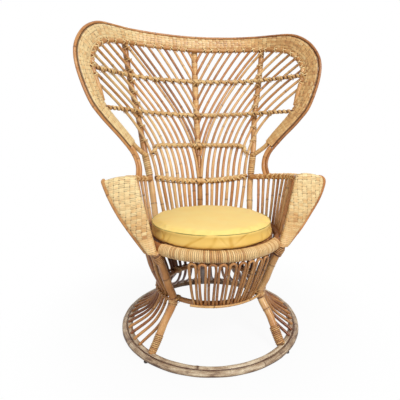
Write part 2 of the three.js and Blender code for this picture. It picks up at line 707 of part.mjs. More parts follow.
const lowerPlaces = range(LOWER_STEPS).map((i) => (bandStart * i) / LOWER_STEPS);
const bandPlaces = stations.map(bandPlace);
const rimPlaces = [...lowerPlaces, ...bandPlaces, ...lowerPlaces.map((place) => 1 - place).reverse()];
addPart('rim_cane', cut(edgeCane(rimPlaces, () => 0, RIM_CANE, THIN), ...armRailRooms), AMBER);

const frameInset = bandOuter + tipInset(FRAME_CANE);
addPart('frame_cane', cut(edgeCane(rimPlaces, () => frameInset, FRAME_CANE, THIN), ...armRailRooms), HONEY);

const innerBodies = innerEnds.map((end) => end.body);
const innerCane = join([edgeCane(bandPlaces, innerAt, INNER_CANE, THIN), ...innerBodies]);
addPart('inner_cane', cut(innerCane, ...postRooms), HONEY);

// Skirts: canes from the seat ring past the waist to the base ring, fused to the binding that holds them
const SKIRT_END = SKIRT_CANE / 2;
function skirtCane(angle) {
  const atWaist = besideWaist(SKIRT_CANE);
  const underSeat = SEAT_HEIGHT - SEAT_CANE - GAP - SKIRT_END;
  const overBase = baseHeight + (BASE_CANE + GAP + SKIRT_END) * Math.cos(radians(30));
  const besideBase = BASE_RING_RADIUS - (BASE_CANE + GAP + SKIRT_END) * Math.sin(radians(30));
  const flare = lerp(atWaist, BASE_RING_RADIUS, 0.42) - SKIRT_FLARE / 2;
  const line = [
    polar(angle, SEAT_RING_RADIUS, underSeat),
    polar(angle, lerp(atWaist, SEAT_RING_RADIUS, 0.5) - LEG_BOW / 2, lerp(WAIST_HEIGHT, SEAT_HEIGHT, 0.52)),
    polar(angle, atWaist, WAIST_HEIGHT),
    polar(angle + BASE_TURN / 2, flare, lerp(WAIST_HEIGHT, baseHeight, 0.55)),
    polar(angle + BASE_TURN, besideBase, overBase),
  ];
  return cane(line, SKIRT_CANE, 4);
}

const bindingRadius = besideWaist(2 * SKIRT_CANE) + BINDING_CANE - FUSE;
function bindingCane(from, to, radius) {
  const points = range(7).map((i) => polar(lerp(from, to, i / 6), radius, WAIST_HEIGHT));
  return cane(points, BINDING_CANE, 10, 4);
}

const BINDING_SPLICE = 0.15;
function skirt(name, from, to, count, spaces, first, ...rooms) {
  const canes = range(count).map((i) => skirtCane(lerp(from, to, (first + i) / spaces)));
  const start = first === 1 ? from : lerp(from, to, (first - 0.5) / spaces);
  const end = first + count === spaces ? to : lerp(from, to, (first + count - 0.5) / spaces);
  const splice = Math.sign(to - from) * BINDING_SPLICE;
  const binding = mainBody(cut(bindingCane(start + splice, end - splice, bindingRadius), ...rooms));
  addPart(name, join([binding, ...canes]), AMBER);
}

const SKIRT_BACK_END = 179;
for (const [place, side] of Object.entries(sides)) {
  const front = legs[`front_${place}`].room;
  const rear = legs[`rear_${place}`].room;
  const from = side * FRONT_LEG_WAIST_ANGLE;
  const to = side * REAR_LEG_ANGLE;
  const half = Math.round(SIDE_SKIRT_COUNT / 2);
  const spaces = SIDE_SKIRT_COUNT + 1;
  skirt(`skirt_front_${place}`, from, to, half, spaces, 1, front);
  skirt(`skirt_middle_${place}`, from, to, SIDE_SKIRT_COUNT - half, spaces, half + 1, rear);
  const back = side * SKIRT_BACK_END;
  skirt(`skirt_rear_${place}`, to, back, REAR_SKIRT_COUNT, REAR_SKIRT_COUNT + 1, 1, rear, centrePost.room);
}

// Winding of peel on the front of the seat ring
const rimArc = range(13).map((i) => {
  return polar(lerp(-RIM_WINDING_ANGLE, RIM_WINDING_ANGLE, i / 12), SEAT_RING_RADIUS, SEAT_HEIGHT);
});
const rimCore = new THREE.CatmullRomCurve3(rimArc);
const windingShare = 1 - SEAT_CANE * 1.3 / SEAT_RING_RADIUS;
const rimPeelWidth = (rimCore.getLength() / RIM_WINDING_TURNS) * windingShare - 1.5 * PEEL_GAP;
const rimLength = rimCore.getLength();
const ringSlack = SEAT_RING_RADIUS * (1 - Math.cos(Math.PI / SEAT_SEGMENTS));
const rimTurns = RIM_WINDING_TURNS;
const seatPeel = winding('seat_winding', rimCore, SEAT_CANE, 0, rimLength, rimTurns, rimPeelWidth, ringSlack);
addPart('seat_winding', seatPeel, PALE);

// Hairpin loops between the seat ring and the waist ring, with the cane that covers their feet
const woundSeat = (SEAT_CANE + GAP + ringSlack) / Math.cos(Math.PI / TURN_STEPS) + PEEL;
const loopTopInset = 8;
const loopTopReach = woundSeat + GAP + LOOP_CANE;
const loopTopHeight = SEAT_HEIGHT - Math.sqrt(loopTopReach ** 2 - loopTopInset ** 2);
const loopHalfTurn = (radius) => LOOP_PITCH / 2 - THREE.MathUtils.radToDeg((LOOP_CANE + 3 * GAP) / radius);
const loopTopRadius = SEAT_RING_RADIUS + loopTopInset;
const loopBend = radians(loopHalfTurn(loopTopRadius)) * loopTopRadius;
const loopShoulder = loopTopHeight - loopBend;
const loopLean = Math.atan2(loopTopRadius - besideWaist(LOOP_CANE), loopShoulder - WAIST_HEIGHT);
const loopRadius = (z) => loopTopRadius - (loopShoulder - z) * Math.tan(loopLean);
function hairpin(angle) {
  const legPoint = (side, t) => {
    const z = lerp(WAIST_HEIGHT - LOOP_FOOT_DROP, loopShoulder, t);
    const radius = loopRadius(z);
    return polar(angle + side * loopHalfTurn(radius), radius, z);
  };
  const arc = [150, 120, 90, 60, 30].map((turn) => {
    const aside = loopHalfTurn(loopTopRadius) * Math.cos(radians(turn));
    return polar(angle + aside, loopTopRadius, loopShoulder + loopBend * Math.sin(radians(turn)));
  });
  const rising = [0, 0.5, 0.97].map((t) => legPoint(-1, t));
  const falling = [0.97, 0.5, 0].map((t) => legPoint(1, t));
  return cane([...rising, ...arc, ...falling], LOOP_CANE, 11);
}

for (const i of range(LOOP_COUNT)) {
  const loop = hairpin(FIRST_LOOP_ANGLE + LOOP_PITCH * i);
  addPart(`front_loop_${i + 1}`, cut(loop, waistRing.room), HONEY);
}
const coverRadius = loopRadius(WAIST_HEIGHT) + (LOOP_CANE + BINDING_CANE + 2 * GAP) / Math.cos(loopLean);
const cover = bindingCane(COVER_CANE_START, FRONT_LEG_WAIST_ANGLE, coverRadius);
addPart('waist_cover_cane', cut(cover, legs.front_right.room), PALE);

// Seat deck on its bearers, and the loose cushion
const bearerHeight = SEAT_HEIGHT - BEARER_CANE / 2;
for (const i of [-1, 0, 1]) {
  const y = i * BEARER_SPACING;
  const half = Math.sqrt(SEAT_RING_RADIUS ** 2 - y ** 2);
  const line = [point(-half, y, bearerHeight), point(0, y, bearerHeight), point(half, y, bearerHeight)];
  addPart(`seat_bearer_${i + 2}`, cut(cane(line, BEARER_CANE, 2, THICK), seatRing.room), AMBER);
}
const deckRadius = SEAT_RING_RADIUS - woundSeat - GAP;
const deckBottom = bearerHeight + BEARER_CANE + GAP;
const deckTop = deckBottom + DECK_THICKNESS;
const deckProfile = [[0, deckBottom], [deckRadius, deckBottom], [deckRadius, deckTop], [0, deckTop]];

function revolve(profile, segments) {
  const outline = profile.map(([r, z]) => new THREE.Vector2(r, z));
  return solidOf(new THREE.LatheGeometry(outline, segments).rotateX(Math.PI / 2));
}

addPart('seat_deck', revolve(deckProfile, 36), AMBER);

const cushionBottom = deckTop + GAP;
const seam = cushionBottom + CUSHION_HEIGHT;
const cushionProfile = [
  [0, cushionBottom],
  [CUSHION_RADIUS - 2 * CUSHION_DRAW_IN, cushionBottom],
  [CUSHION_RADIUS - CUSHION_DRAW_IN, cushionBottom + CUSHION_DRAW_IN],
  [CUSHION_RADIUS - CUSHION_DRAW_IN / 4, cushionBottom + CUSHION_HEIGHT * 0.5],
  [CUSHION_RADIUS - PIPING, seam - 2 * PIPING],
  [CUSHION_RADIUS, seam - PIPING],
  [CUSHION_RADIUS, seam],
  [CUSHION_RADIUS - 2 * PIPING, seam],
  [CUSHION_RADIUS * 0.86, seam + CUSHION_CROWN * 0.45],
  [CUSHION_RADIUS * 0.55, seam + CUSHION_CROWN * 0.85],
  [0, seam + CUSHION_CROWN],
];
addPart('seat_cushion', revolve(cushionProfile, 30), YELLOW);

// The part stands on its glides, with its origin under the middle of its box
const box = new THREE.Box3().setFromObject(chair);
const middle = box.getCenter(point(0, 0, 0));
chair.position.set(-middle.x, -middle.y, -box.min.z);

export default chair;
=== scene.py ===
"""Cane peacock chair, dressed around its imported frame: bent canes, weaving, lashings of peel and a cushion."""

import math

import bpy
import numpy as np
from bpy.props import FloatProperty, FloatVectorProperty, PointerProperty
from mathutils import Matrix, Vector


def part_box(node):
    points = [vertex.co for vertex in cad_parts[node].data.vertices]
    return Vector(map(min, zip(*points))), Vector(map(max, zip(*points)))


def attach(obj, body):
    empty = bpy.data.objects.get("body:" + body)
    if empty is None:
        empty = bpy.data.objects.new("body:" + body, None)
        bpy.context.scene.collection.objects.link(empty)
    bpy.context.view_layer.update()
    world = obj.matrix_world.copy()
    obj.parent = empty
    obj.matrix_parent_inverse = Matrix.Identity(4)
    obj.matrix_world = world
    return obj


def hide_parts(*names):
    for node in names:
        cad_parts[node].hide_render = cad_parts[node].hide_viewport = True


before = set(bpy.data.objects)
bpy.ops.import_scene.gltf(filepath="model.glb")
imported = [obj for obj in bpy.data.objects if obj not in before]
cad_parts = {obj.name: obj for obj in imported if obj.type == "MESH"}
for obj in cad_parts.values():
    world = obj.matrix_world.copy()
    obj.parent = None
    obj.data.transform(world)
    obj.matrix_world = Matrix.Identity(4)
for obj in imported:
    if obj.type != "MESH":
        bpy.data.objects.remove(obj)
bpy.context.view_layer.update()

bl_info = {
    "name": "Cane peacock chair",
    "version": (1, 0, 0),
    "blender": (4, 5, 0),
    "location": "View3D > Sidebar > Chair",
    "description": "Dresses the frame of a cane peacock chair with canes, weaving, lashings and a cushion",
    "category": "Object",
}

SIDES = {"left": -1, "right": 1}


def frame_radius(node):
    """Outer radius of a round node of the frame, in millimetres."""
    low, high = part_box(node)
    return (high.x - low.x) / 2 * 1000


def frame_height(node):
    """Middle height of a node of the frame, in millimetres."""
    low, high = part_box(node)
    return (high.z + low.z) / 2 * 1000


def frame_axis():
    """Distance of the seat axis from the middle of the chair, in metres."""
    low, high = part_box("base_ring")
    return (high.y + low.y) / 2


# Places of the frame, in millimetres from the seat axis
AXIS_Y = frame_axis()
BASE_CANE = 10.0
BASE_EDGE_CANE = 9.5
BASE_RADIUS = frame_radius("base_ring") - BASE_CANE
BASE_HEIGHT = frame_height("base_ring")
BASE_EDGE_RADIUS = BASE_RADIUS + BASE_CANE + BASE_EDGE_CANE
BASE_EDGE_HEIGHT = frame_height("base_edge_ring")
BASE_TURN = -4.5
WAIST_CANE = 9.0
WAIST_RADIUS = frame_radius("waist_ring") - WAIST_CANE
WAIST_HEIGHT = frame_height("waist_ring")
SEAT_CANE = 16.0
SEAT_RADIUS = frame_radius("seat_ring") - SEAT_CANE
SEAT_HEIGHT = frame_height("seat_ring")
FIT = 0.3
WAIST_SPREAD = 0.09
WAIST_DROP = 6.0
SPREAD_LOW, SPREAD_HIGH = 30.0, SEAT_HEIGHT - 16

# Angles round the seat axis at the floor, the waist and the seat
LEG_ANGLES = {
    "front_left": (BASE_TURN - 46.0, -50.0, -53.5),
    "front_right": (BASE_TURN + 46.0, 50.0, 53.5),
    "rear_left": (BASE_TURN - 142.0, -142.0, -142.0),
    "rear_right": (BASE_TURN + 142.0, 142.0, 142.0),
}
LEG_BOW = 9.0
FOOT_RADIUS = BASE_RADIUS - BASE_CANE / 3
FOOT_HEIGHT = BASE_HEIGHT + BASE_CANE / 2
WAIST_TIE_INSET = 9.0
GLIDE_PROFILE = ((0.1, 0.0), (5.6, 0.0), (7.0, 0.4), (7.6, 1.4), (7.6, 4.6), (7.2, 5.6), (6.0, 6.0), (0.1, 6.2))
SKIRT_FLARE = 18.0
# First and last angle, number of spaces, first cane and number of canes of each group on a side
SKIRT_GROUPS = {
    "front": (50.0, 142.0, 13, 1, 6),
    "middle": (50.0, 142.0, 13, 7, 6),
    "rear": (142.0, 179.0, 5, 1, 4),
}
LOOP_PITCH = 7.3
LOOP_FIRST = -25.0
LOOP_COUNT = 9
LOOP_OUT = 8.0
COVER_START, COVER_END = -30.0, 47.5
SEAT_WOUND = 51.5
SEAT_WOUND_CANE = 20.6
SEAT_TURNS = 71
BEARER_PITCH = 110.0
BEARER_HEIGHT = SEAT_HEIGHT - 4.5
BEARER_CANE = 9.0
DECK_RINGS = 70

ARM_RADIUS = 302.0
ARM_CENTRE_Y = 10.0
ARM_CANE = 11.5
ARM_REAR_ANGLE = 134.5
ARM_FRONT_ANGLE = 70.0
ARM_REAR_HEIGHT = SEAT_HEIGHT + 170
ARM_FRONT_HEIGHT = SEAT_HEIGHT + 222
ARM_FOOT_HEIGHT = SEAT_HEIGHT - 30
ARM_TOP_HEIGHT = SEAT_HEIGHT + 232
ARM_FOOT_Y = -155.0
ARM_LEAN = 0.15
ARM_FOOT_WIDTH = 34.0
ARM_PANEL_THICKNESS = 20.0
ARM_FLARE = 96.0
ARM_SPINDLES = 10
ARM_EDGE_CANE = 5.5
ARM_FULLER_SPOTS = (0.08, 0.25, 0.5, 0.75, 0.9, 1.0)
# What differs between the left and the right arm front, as in the photo
ARM_FRONTS = {
    -1: dict(foot_inset=0.0, fuller=(0.0, 0.0, 0.0, 0.0, 0.0, 0.0), corner=7.0, corner_share=0.03,
             drop=9.0, crown=6.0, pattern=5, wound=0.24, darker=0.01),
    1: dict(foot_inset=13.0, fuller=(4.0, 3.0, 7.0, 14.0, 11.0, 2.0), corner=22.0, corner_share=0.08,
            drop=4.0, crown=5.0, pattern=8, wound=0.36, darker=0.08),
}

# Depth of the back, places of post and wing, and sag between the posts at each level
BACK_LEVELS = SEAT_HEIGHT + np.array([0.0, 154.0, 293.0, 434.0, 578.0, 784.0])
BACK_DEPTHS = [244.0, 277.0, 327.0, 380.0, 427.0, 470.0]
POST_SPREADS = [184.0, 201.0, 227.0, 250.0, 279.0, 304.0]
WING_STARTS = [195.0, 212.0, 233.0, 255.0, 281.0, 306.0]
BACK_SAGS = [75.0, 50.0, 43.0, 26.0, 24.0, 28.0]
WING_SLOPE = math.tan(math.radians(49.0))
WING_BLEND = 28.0
BACK_RAIL = SEAT_HEIGHT + 146
BACK_RAIL_END_RISE = 25.0
LOWER_RAIL = SEAT_HEIGHT + 295
LOWER_RAIL_HOOK = 30.0
MIDDLE_RAIL = SEAT_HEIGHT + 424
UPPER_RAIL = SEAT_HEIGHT + 573
RAIL_END_RISE = 25.0
FAN_COUNT = 8
FAN_FIRST = 30.0
FAN_PITCH = 22.2
FAN_FOOT_SHARE = 0.87
SPINDLE_FOOT = 15
LEAN_START, LEAN_HEIGHT = 55, 455
LEAN, LEAN_OUTWARD = 0.53, 0.00115
CLIMB_STEP = 4
SPINDLE_BITE = 10.0
RAIL_BITE = 9
CENTRE_SPRAYS = SEAT_HEIGHT + np.array([165.0, 255, 328, 397, 454, 502, 560, 612, 668])
# Right half of the rim from the middle of its top: distance from the middle and height above the seat
RIM_LINE = [
    (0, 773), (165, 778), (275, 784), (352, 784), (406, 774), (443, 741), (467, 688), (473, 640),
    (463, 573), (424, 467), (388, 413), (319, 328), (281, 272), (267, 227), (268, 190),
]
BAND_END = SEAT_HEIGHT + 297
BAND_THICKNESS = 22.0
BAND_OUTER = 5.8
BAND_WIDTHS = [50.0, 50.0, 66.0, 66.0, 48.0]
BAND_SPOTS = [0.0, 0.28, 0.5, 0.72, 1.0]
INNER_CANE = 8.6
ROLL_RADIUS = 9.4
CUSHION_RADIUS = frame_radius("seat_cushion")
CUSHION_BOTTOM = SEAT_HEIGHT + 14.1
CUSHION_SEAM = CUSHION_BOTTOM + 43.0
CUSHION_TOP = CUSHION_SEAM + 6.0
CUSHION_ASIDE = -5.0
CUSHION_FORWARD = 8.0
CUSHION_BULGE = 11.0
CUSHION_TILT = (-8.0, 6.0)
SEAM_EVEN = 9
FOLDS = 46
SWELL_FRAMES = 20
CLOTH = dict(quality=5, use_pressure=True, uniform_pressure_force=4.0, tension_stiffness=18,
             compression_stiffness=18, bending_stiffness=0.4)

# Workmanship: steps along a line, rounded ends, nodes, strips of peel and the weave
LEVEL, ACROSS, UP = (1, 1, 0), (1, 0, 0), (0, 0, 1)
FINE_STEP = 2.5
RING_POINTS = 520
RING_NODES = 8
# Painted shade on the undersides of the floor rings
RING_UNDERSIDE_SHADE = 0.55
# Steps of a rounded end: share of the thickness beyond the end, and share of the section
ROUND_ENDS = ((0.46, 0.42), (0.30, 0.82))
GRAIN_SHIFT = 500
# Upward share of a face below which painted shade begins
SHADE_BELOW = 0.55
NODE_SWELL, NODE_SHADE, NODE_GLEAM = 0.075, 0.85, 0.10
LASH_POINTS = 22
LASH_PITCH, LASH_OVER = 1.7, 0.05
# Thickness that the winding adds to each front foot
FOOT_WINDINGS = {"front_left": 0.7, "front_right": 3.2}
# Height, length, thickness added to the leg and thickness of the strip of the front legs' windings
LEG_WINDINGS = ((SEAT_HEIGHT - 26, 30, 2.6, 3.0), (WAIST_HEIGHT, 28, 1.4, 2.8))
PAD_END, PAD_LEAST, PAD_MOST, PAD_PITCH = 12, 11, 48, 20
SPINDLE_TAPER = (1.2, 0.98)
CLOSED_CORNERS = 0.45

# Tones, from dark to pale, and how much they change
# The rear legs are painted dark, as painted shade under the seat
SHADED_REAR_LEG = dict(tone=0.22, nodes=150, dark=0.5)
LEG_LOOKS = {
    "front_left": dict(tone=0.54, nodes=175, first=282),
    "front_right": dict(tone=0.70, nodes=175, first=128),
    "rear_left": SHADED_REAR_LEG,
    "rear_right": SHADED_REAR_LEG,
}
SKIRT_TONES = [0.12, 0.27, 0.46]
ARM_SPINDLE_TONES = [0.42, 0.55, 0.66, 0.78]
SPINDLE_TONES = [0.30, 0.46, 0.55, 0.64, 0.74, 0.86]
SEAT_TONE_CHANGES = [-0.34, -0.14, -0.04, 0.02, 0.08, 0.16]
ROW_TONE, STRIP_TONE = 0.66, 0.64
ROW_CHANGE, STAKE_CHANGE, CROSSING_CHANGE = 0.26, 0.24, 0.30

# Finishes of the slots: family of colours and how they are worn, and fixed colours
CANE_LOOKS = {
    "honey_cane": ("cane", dict()),
    "amber_cane": ("cane", dict(lift=-0.06)),
    "dark_cane": ("base", dict(contrast=2.8, rough=0.5, coat=0.1, speck=0.8, red=0.2)),
    "pale_peel": ("peel", dict(contrast=0.85, rough=0.46, coat=0.15, speck=0.4, red=0.35)),
}
SHINE = 0.3
RUDDY = (0.90, 0.62, 0.46, 1)
DUST = (0.07, 0.066, 0.06, 1)
# Colour of the painted shade on the cushion's wall and in its folds
COVER_SHADE = (0.56, 0.29, 0.030, 1)
WHITE = (1, 1, 1, 1)


def length_setting(name, description, default):
    return FloatProperty(name=name, description=description, default=default, min=0.0,
                         subtype="DISTANCE", unit="LENGTH")


def colour_setting(name, description, default):
    return FloatVectorProperty(name=name, description=description, default=default, min=0.0, max=1.0,
                               subtype="COLOR", size=3)


class ChairSizes(bpy.types.PropertyGroup):
    """Cane radii, strip widths and weave sizes."""

    leg_cane: length_setting("Leg cane", "Radius of the leg canes", 0.012)
    post_cane: length_setting("Post cane", "Radius of the side posts of the back", 0.0125)
    centre_cane: length_setting("Centre post cane", "Radius of the centre post of the back", 0.012)
    rail_cane: length_setting("Rail cane", "Radius of the rails across the back", 0.0075)
    spindle_cane: length_setting("Spindle cane", "Radius of the spindles of back and arms", 0.0058)
    skirt_cane: length_setting("Skirt cane", "Radius of the canes of the base skirt", 0.0054)
    loop_cane: length_setting("Loop cane", "Radius of the hairpin loops under the seat", 0.0043)
    rim_cane: length_setting("Rim cane", "Radius of the cane round the outer edge of the back", 0.0055)
    frame_cane: length_setting("Frame cane", "Radius of the bearing cane inside the band", 0.007)
    binding_cane: length_setting("Binding cane", "Radius of the canes that bind the waist", 0.004)
    peel: length_setting("Peel", "Thickness of the strips of peel", 0.0014)
    lashing: length_setting("Lashing", "Width of the strips that tie the canes", 0.0036)
    weave_row: length_setting("Weave row", "Width of the rows of the woven band", 0.0105)
    weave_stake: length_setting("Weave stake", "Spacing of the stakes of the woven band", 0.0165)
    weave_relief: length_setting("Weave relief", "Height of the weave's strips", 0.0016)
    piping: length_setting("Piping", "Radius of the cushion's piped seam", 0.0016)
    cushion_swell: length_setting("Cushion swell", "How far the cushion may swell under pressure", 0.008)


class ChairColours(bpy.types.PropertyGroup):
    """Colours of cane, peel, cushion, glides and stage."""

    cane_dark: colour_setting("Dark cane", "Darkest tone of the canes", (0.20, 0.066, 0.020))
    cane_mid: colour_setting("Cane", "Middle tone of the canes", (0.52, 0.25, 0.080))
    cane_pale: colour_setting("Pale cane", "Palest tone of the canes", (0.79, 0.54, 0.25))
    base_dark: colour_setting("Dark base", "Darkest tone of the floor rings", (0.10, 0.050, 0.034))
    base_mid: colour_setting("Base", "Middle tone of the floor rings", (0.42, 0.29, 0.18))
    base_pale: colour_setting("Pale base", "Palest tone of the floor rings", (0.74, 0.62, 0.44))
    peel_dark: colour_setting("Dark peel", "Darkest tone of the strips of peel", (0.33, 0.13, 0.045))
    peel_mid: colour_setting("Peel", "Middle tone of the strips of peel", (0.68, 0.41, 0.16))
    peel_pale: colour_setting("Pale peel", "Palest tone of the strips of peel", (0.88, 0.68, 0.35))
    # Colour of the dark node rings, and of the painted shade in gaps, grooves and under the seat
    gap: colour_setting("Gap", "Colour of deep gaps and node rings", (0.075, 0.022, 0.008))
    cover: colour_setting("Cushion cover", "Colour of the cushion's leather cover", (1.0, 0.71, 0.205))
    cover_worn: colour_setting("Worn cover", "Colour of the cover where it is rubbed", (1.0, 0.77, 0.27))
    piping: colour_setting("Piping", "Colour of the cushion's piped seam", (0.34, 0.28, 0.06))
    glide: colour_setting("Glide", "Colour of the rubber glides", (0.018, 0.017, 0.016))
    floor: colour_setting("Floor", "Colour of the floor", (0.58, 0.58, 0.58))


def sizes(name):
    """A size setting in millimetres."""
    return getattr(bpy.context.scene.chair_sizes, name) * 1000


def colour(name):
    return tuple(getattr(bpy.context.scene.chair_colours, name)) + (1.0,)


# Lines and surfaces of the chair

def unit(vectors):
    return vectors / np.maximum(np.linalg.norm(vectors, axis=-1, keepdims=True), 1e-9)


def across_to(vectors, ahead):
    """Directions square to the way ahead."""
    return unit(vectors - ahead * (vectors * ahead).sum(-1, keepdims=True))


def smooth(t):
    t = np.clip(t, 0.0, 1.0)
    return t * t * (3 - 2 * t)


def lerp(a, b, t):
    return a + (b - a) * t


def hump(away, half, place=0.0):
    """A soft bump of height one round a place."""
    return np.exp(-((away - place) / half) ** 2)


def polar(angle, radius, z, centre_y=0.0):
    turn = np.radians(angle)
    parts = np.broadcast_arrays(radius * np.sin(turn), centre_y - radius * np.cos(turn), z)
    return np.stack(parts, axis=-1).astype(float)


def round_axis(angle):
    """Directions outward and along a ring at an angle round the seat axis."""
    out = unit(polar(angle, 1.0, 0.0))
    return out, np.array((-out[1], out[0], 0.0))


def full_turn(count):
    return np.linspace(0, 2 * np.pi, count, endpoint=False)


def signed_power(value, power):
    """A power of a value that keeps its sign."""
    return np.sign(value) * np.abs(value) ** power


def run_along(path):
    return np.r_[0, np.cumsum(np.linalg.norm(np.diff(path, axis=0), axis=1))]


def sample(spots, run, rows):
    """Rows of three values, read at spots along a run."""
    return np.stack([np.interp(spots, run, rows[:, k]) for k in range(3)], axis=1)


def along(stations, values, place):
    """Value at a place along a list of stations, on a smooth curve through all of them."""
    s, v = np.asarray(stations, float), np.asarray(values, float)
    place = np.asarray(place, float)
    slope = np.empty_like(v)
    slope[1:-1] = (v[2:] - v[:-2]) / (s[2:] - s[:-2])
    slope[0] = (v[1] - v[0]) / (s[1] - s[0])
    slope[-1] = (v[-1] - v[-2]) / (s[-1] - s[-2])
    i = np.clip(np.searchsorted(s, place, side="right") - 1, 0, len(s) - 2)
    h = s[i + 1] - s[i]
    t = (place - s[i]) / h
    bend_part = t * (1 - t) * ((1 - t) * slope[i] - t * slope[i + 1]) * h
    inside = v[i] + (v[i + 1] - v[i]) * t * t * (3 - 2 * t) + bend_part
    low = v[0] + slope[0] * (place - s[0])
    high = v[-1] + slope[-1] * (place - s[-1])
    return np.where(place <= s[0], low, np.where(place >= s[-1], high, inside))


def even(path, spacing=4.0, count=None):
    """Evenly spaced points along a path."""
    run = run_along(path)
    count = count or max(int(run[-1] / spacing) + 1, 3)
    return sample(np.linspace(0, run[-1], count), run, path)


def bend(points, spacing=4.0, count=None):
    """Points along a cane bent through the given points."""
    p = np.asarray(points, float)
    p = np.vstack([2 * p[0] - p[1], p, 2 * p[-1] - p[-2]])
    spans = []
    w = np.linspace(0, 1, 13)[:-1, None]
    for a, b, c, d in zip(p, p[1:], p[2:], p[3:]):
        s0, s1, s2 = (max(math.sqrt(np.linalg.norm(q - r)), 1e-2) for q, r in ((b, a), (c, b), (d, c)))
        t1 = ((b - a) / s0 - (c - a) / (s0 + s1) + (c - b) / s1) * s1
        t2 = ((c - b) / s1 - (d - b) / (s1 + s2) + (d - c) / s2) * s1
        square, cube = 3 * (c - b) - 2 * t1 - t2, 2 * (b - c) + t1 + t2
        spans.append(b + t1 * w + square * w ** 2 + cube * w ** 3)
    spans.append(p[-2:-1])
    return even(np.vstack(spans), spacing, count)


def post_spread(z):
    return along(BACK_LEVELS, POST_SPREADS, z)


def back_depth(x, z):
    """Depth of the back: flat between the posts, turned forward past them."""
    start = along(BACK_LEVELS, WING_STARTS, z)
    past = WING_BLEND * np.log1p(np.exp((np.abs(x) - start) / WING_BLEND))
    sag = along(BACK_LEVELS, BACK_SAGS, z) * (x / start) ** 2
    return along(BACK_LEVELS, BACK_DEPTHS, z) - sag - WING_SLOPE * past


def back_front(x, z):
    across = (back_depth(x + 1, z) - back_depth(x - 1, z)) / 2
    upward = (back_depth(x, z + 1) - back_depth(x, z - 1)) / 2
    return unit(np.stack(np.broadcast_arrays(across, -1.0, upward), axis=-1))


def on_back(x, z, lift=0.0):
    """Points on the back, lifted towards the sitter."""
    x, z, lift = np.broadcast_arrays(np.asarray(x, float), np.asarray(z, float), np.asarray(lift, float))
    return np.stack([x, back_depth(x, z), z], axis=-1) + back_front(x, z) * lift[..., None]


HALF_RIM = [(x, SEAT_HEIGHT + rise) for x, rise in RIM_LINE]
WHOLE_RIM = [(-x, z) for x, z in HALF_RIM[:0:-1]] + HALF_RIM
RIM_PATH = bend([(x, 0.0, z) for x, z in WHOLE_RIM], count=1601)
RIM_AHEAD = unit(np.gradient(RIM_PATH, axis=0))
RIM_PLACES = np.linspace(0, 1, len(RIM_PATH))
RIM_LENGTH = float(np.linalg.norm(np.diff(RIM_PATH, axis=0), axis=1).sum())
BAND_START = RIM_PLACES[np.argmax(RIM_PATH[:, 2] > BAND_END)]
BACK_MIDDLE = BACK_LEVELS[3]
POST_TOP = BACK_LEVELS[5] - BAND_WIDTHS[0] - 5.5


def on_rim(place, inset, lift=0.0):
    """Points beside the rim line, moved along the back towards its middle and lifted off it."""
    place, inset, lift = np.broadcast_arrays(np.clip(place, 0, 1), inset, lift)
    x, z = (np.interp(place, RIM_PLACES, RIM_PATH[:, k]) for k in (0, 2))
    dx, dz = (np.interp(place, RIM_PLACES, RIM_AHEAD[:, k]) for k in (0, 2))
    here = on_back(x, z)
    inward = np.cross(unit(on_back(x + dx, z + dz) - here), back_front(x, z))
    to_middle = np.stack([-x, np.zeros_like(x), BACK_MIDDLE - z], axis=-1)
    inward *= np.where((inward * to_middle).sum(-1, keepdims=True) < 0, -1.0, 1.0)
    moved = here + inward * np.asarray(inset, float)[..., None]
    return on_back(moved[..., 0], moved[..., 2], lift)


def band_place(t):
    return lerp(BAND_START, 1 - BAND_START, np.asarray(t, float))


def band_width(t):
    return along(BAND_SPOTS, BAND_WIDTHS, np.abs(2 * np.asarray(t, float) - 1))


EDGE_SPOTS = np.linspace(0.5, 1, 81)
EDGE = on_rim(band_place(EDGE_SPOTS), BAND_OUTER + band_width(EDGE_SPOTS))
EDGE_ANGLES = np.arctan2(EDGE[:, 0], EDGE[:, 2] - BACK_MIDDLE)
EDGE_REACHES = np.hypot(EDGE[:, 0], EDGE[:, 2] - BACK_MIDDLE)


def room_to_band(x, z):
    """Distance left between a point of the back and the band's inner edge."""
    angle = math.atan2(abs(x), z - BACK_MIDDLE)
    if angle > EDGE_ANGLES[-1]:
        return math.inf
    return float(np.interp(angle, EDGE_ANGLES, EDGE_REACHES)) - math.hypot(x, z - BACK_MIDDLE)


def fan_lean(x, z):
    """Spindles lean outward more and more as they climb, the outer ones most."""
    grown = float(smooth((z - SEAT_HEIGHT - LEAN_START) / LEAN_HEIGHT))
    return grown * (LEAN + LEAN_OUTWARD * x)


def climb(x, z):
    """Places of a leaning spindle, from its foot up into the band."""
    track = [(x, z)]
    while room_to_band(x, z) > -SPINDLE_BITE and z < BACK_LEVELS[5]:
        x += CLIMB_STEP * fan_lean(x, z)
        z += CLIMB_STEP
        track.append((x, z))
    return np.array(track)


def thin(track, count):
    return track[np.round(np.linspace(0, len(track) - 1, count)).astype(int)]


# Meshes: canes, strips and woven skins collected into one piece

def waist_spread(z):
    """How much of the waist's extra fullness there is at a height."""
    share = np.clip((z - SPREAD_LOW) / (SPREAD_HIGH - SPREAD_LOW), 0, 1)
    return np.sin(np.pi * share) ** 2


def write_values(mesh, grain, tint):
    """Gives every vertex its place along the grain and its tint, for the finishes."""
    for name, kind, key, values in (("grain", "FLOAT_VECTOR", "vector", grain),
                                    ("tint", "FLOAT_COLOR", "color", tint)):
        mesh.attributes.new(name, kind, "POINT").data.foreach_set(key, values.astype(np.float32).ravel())


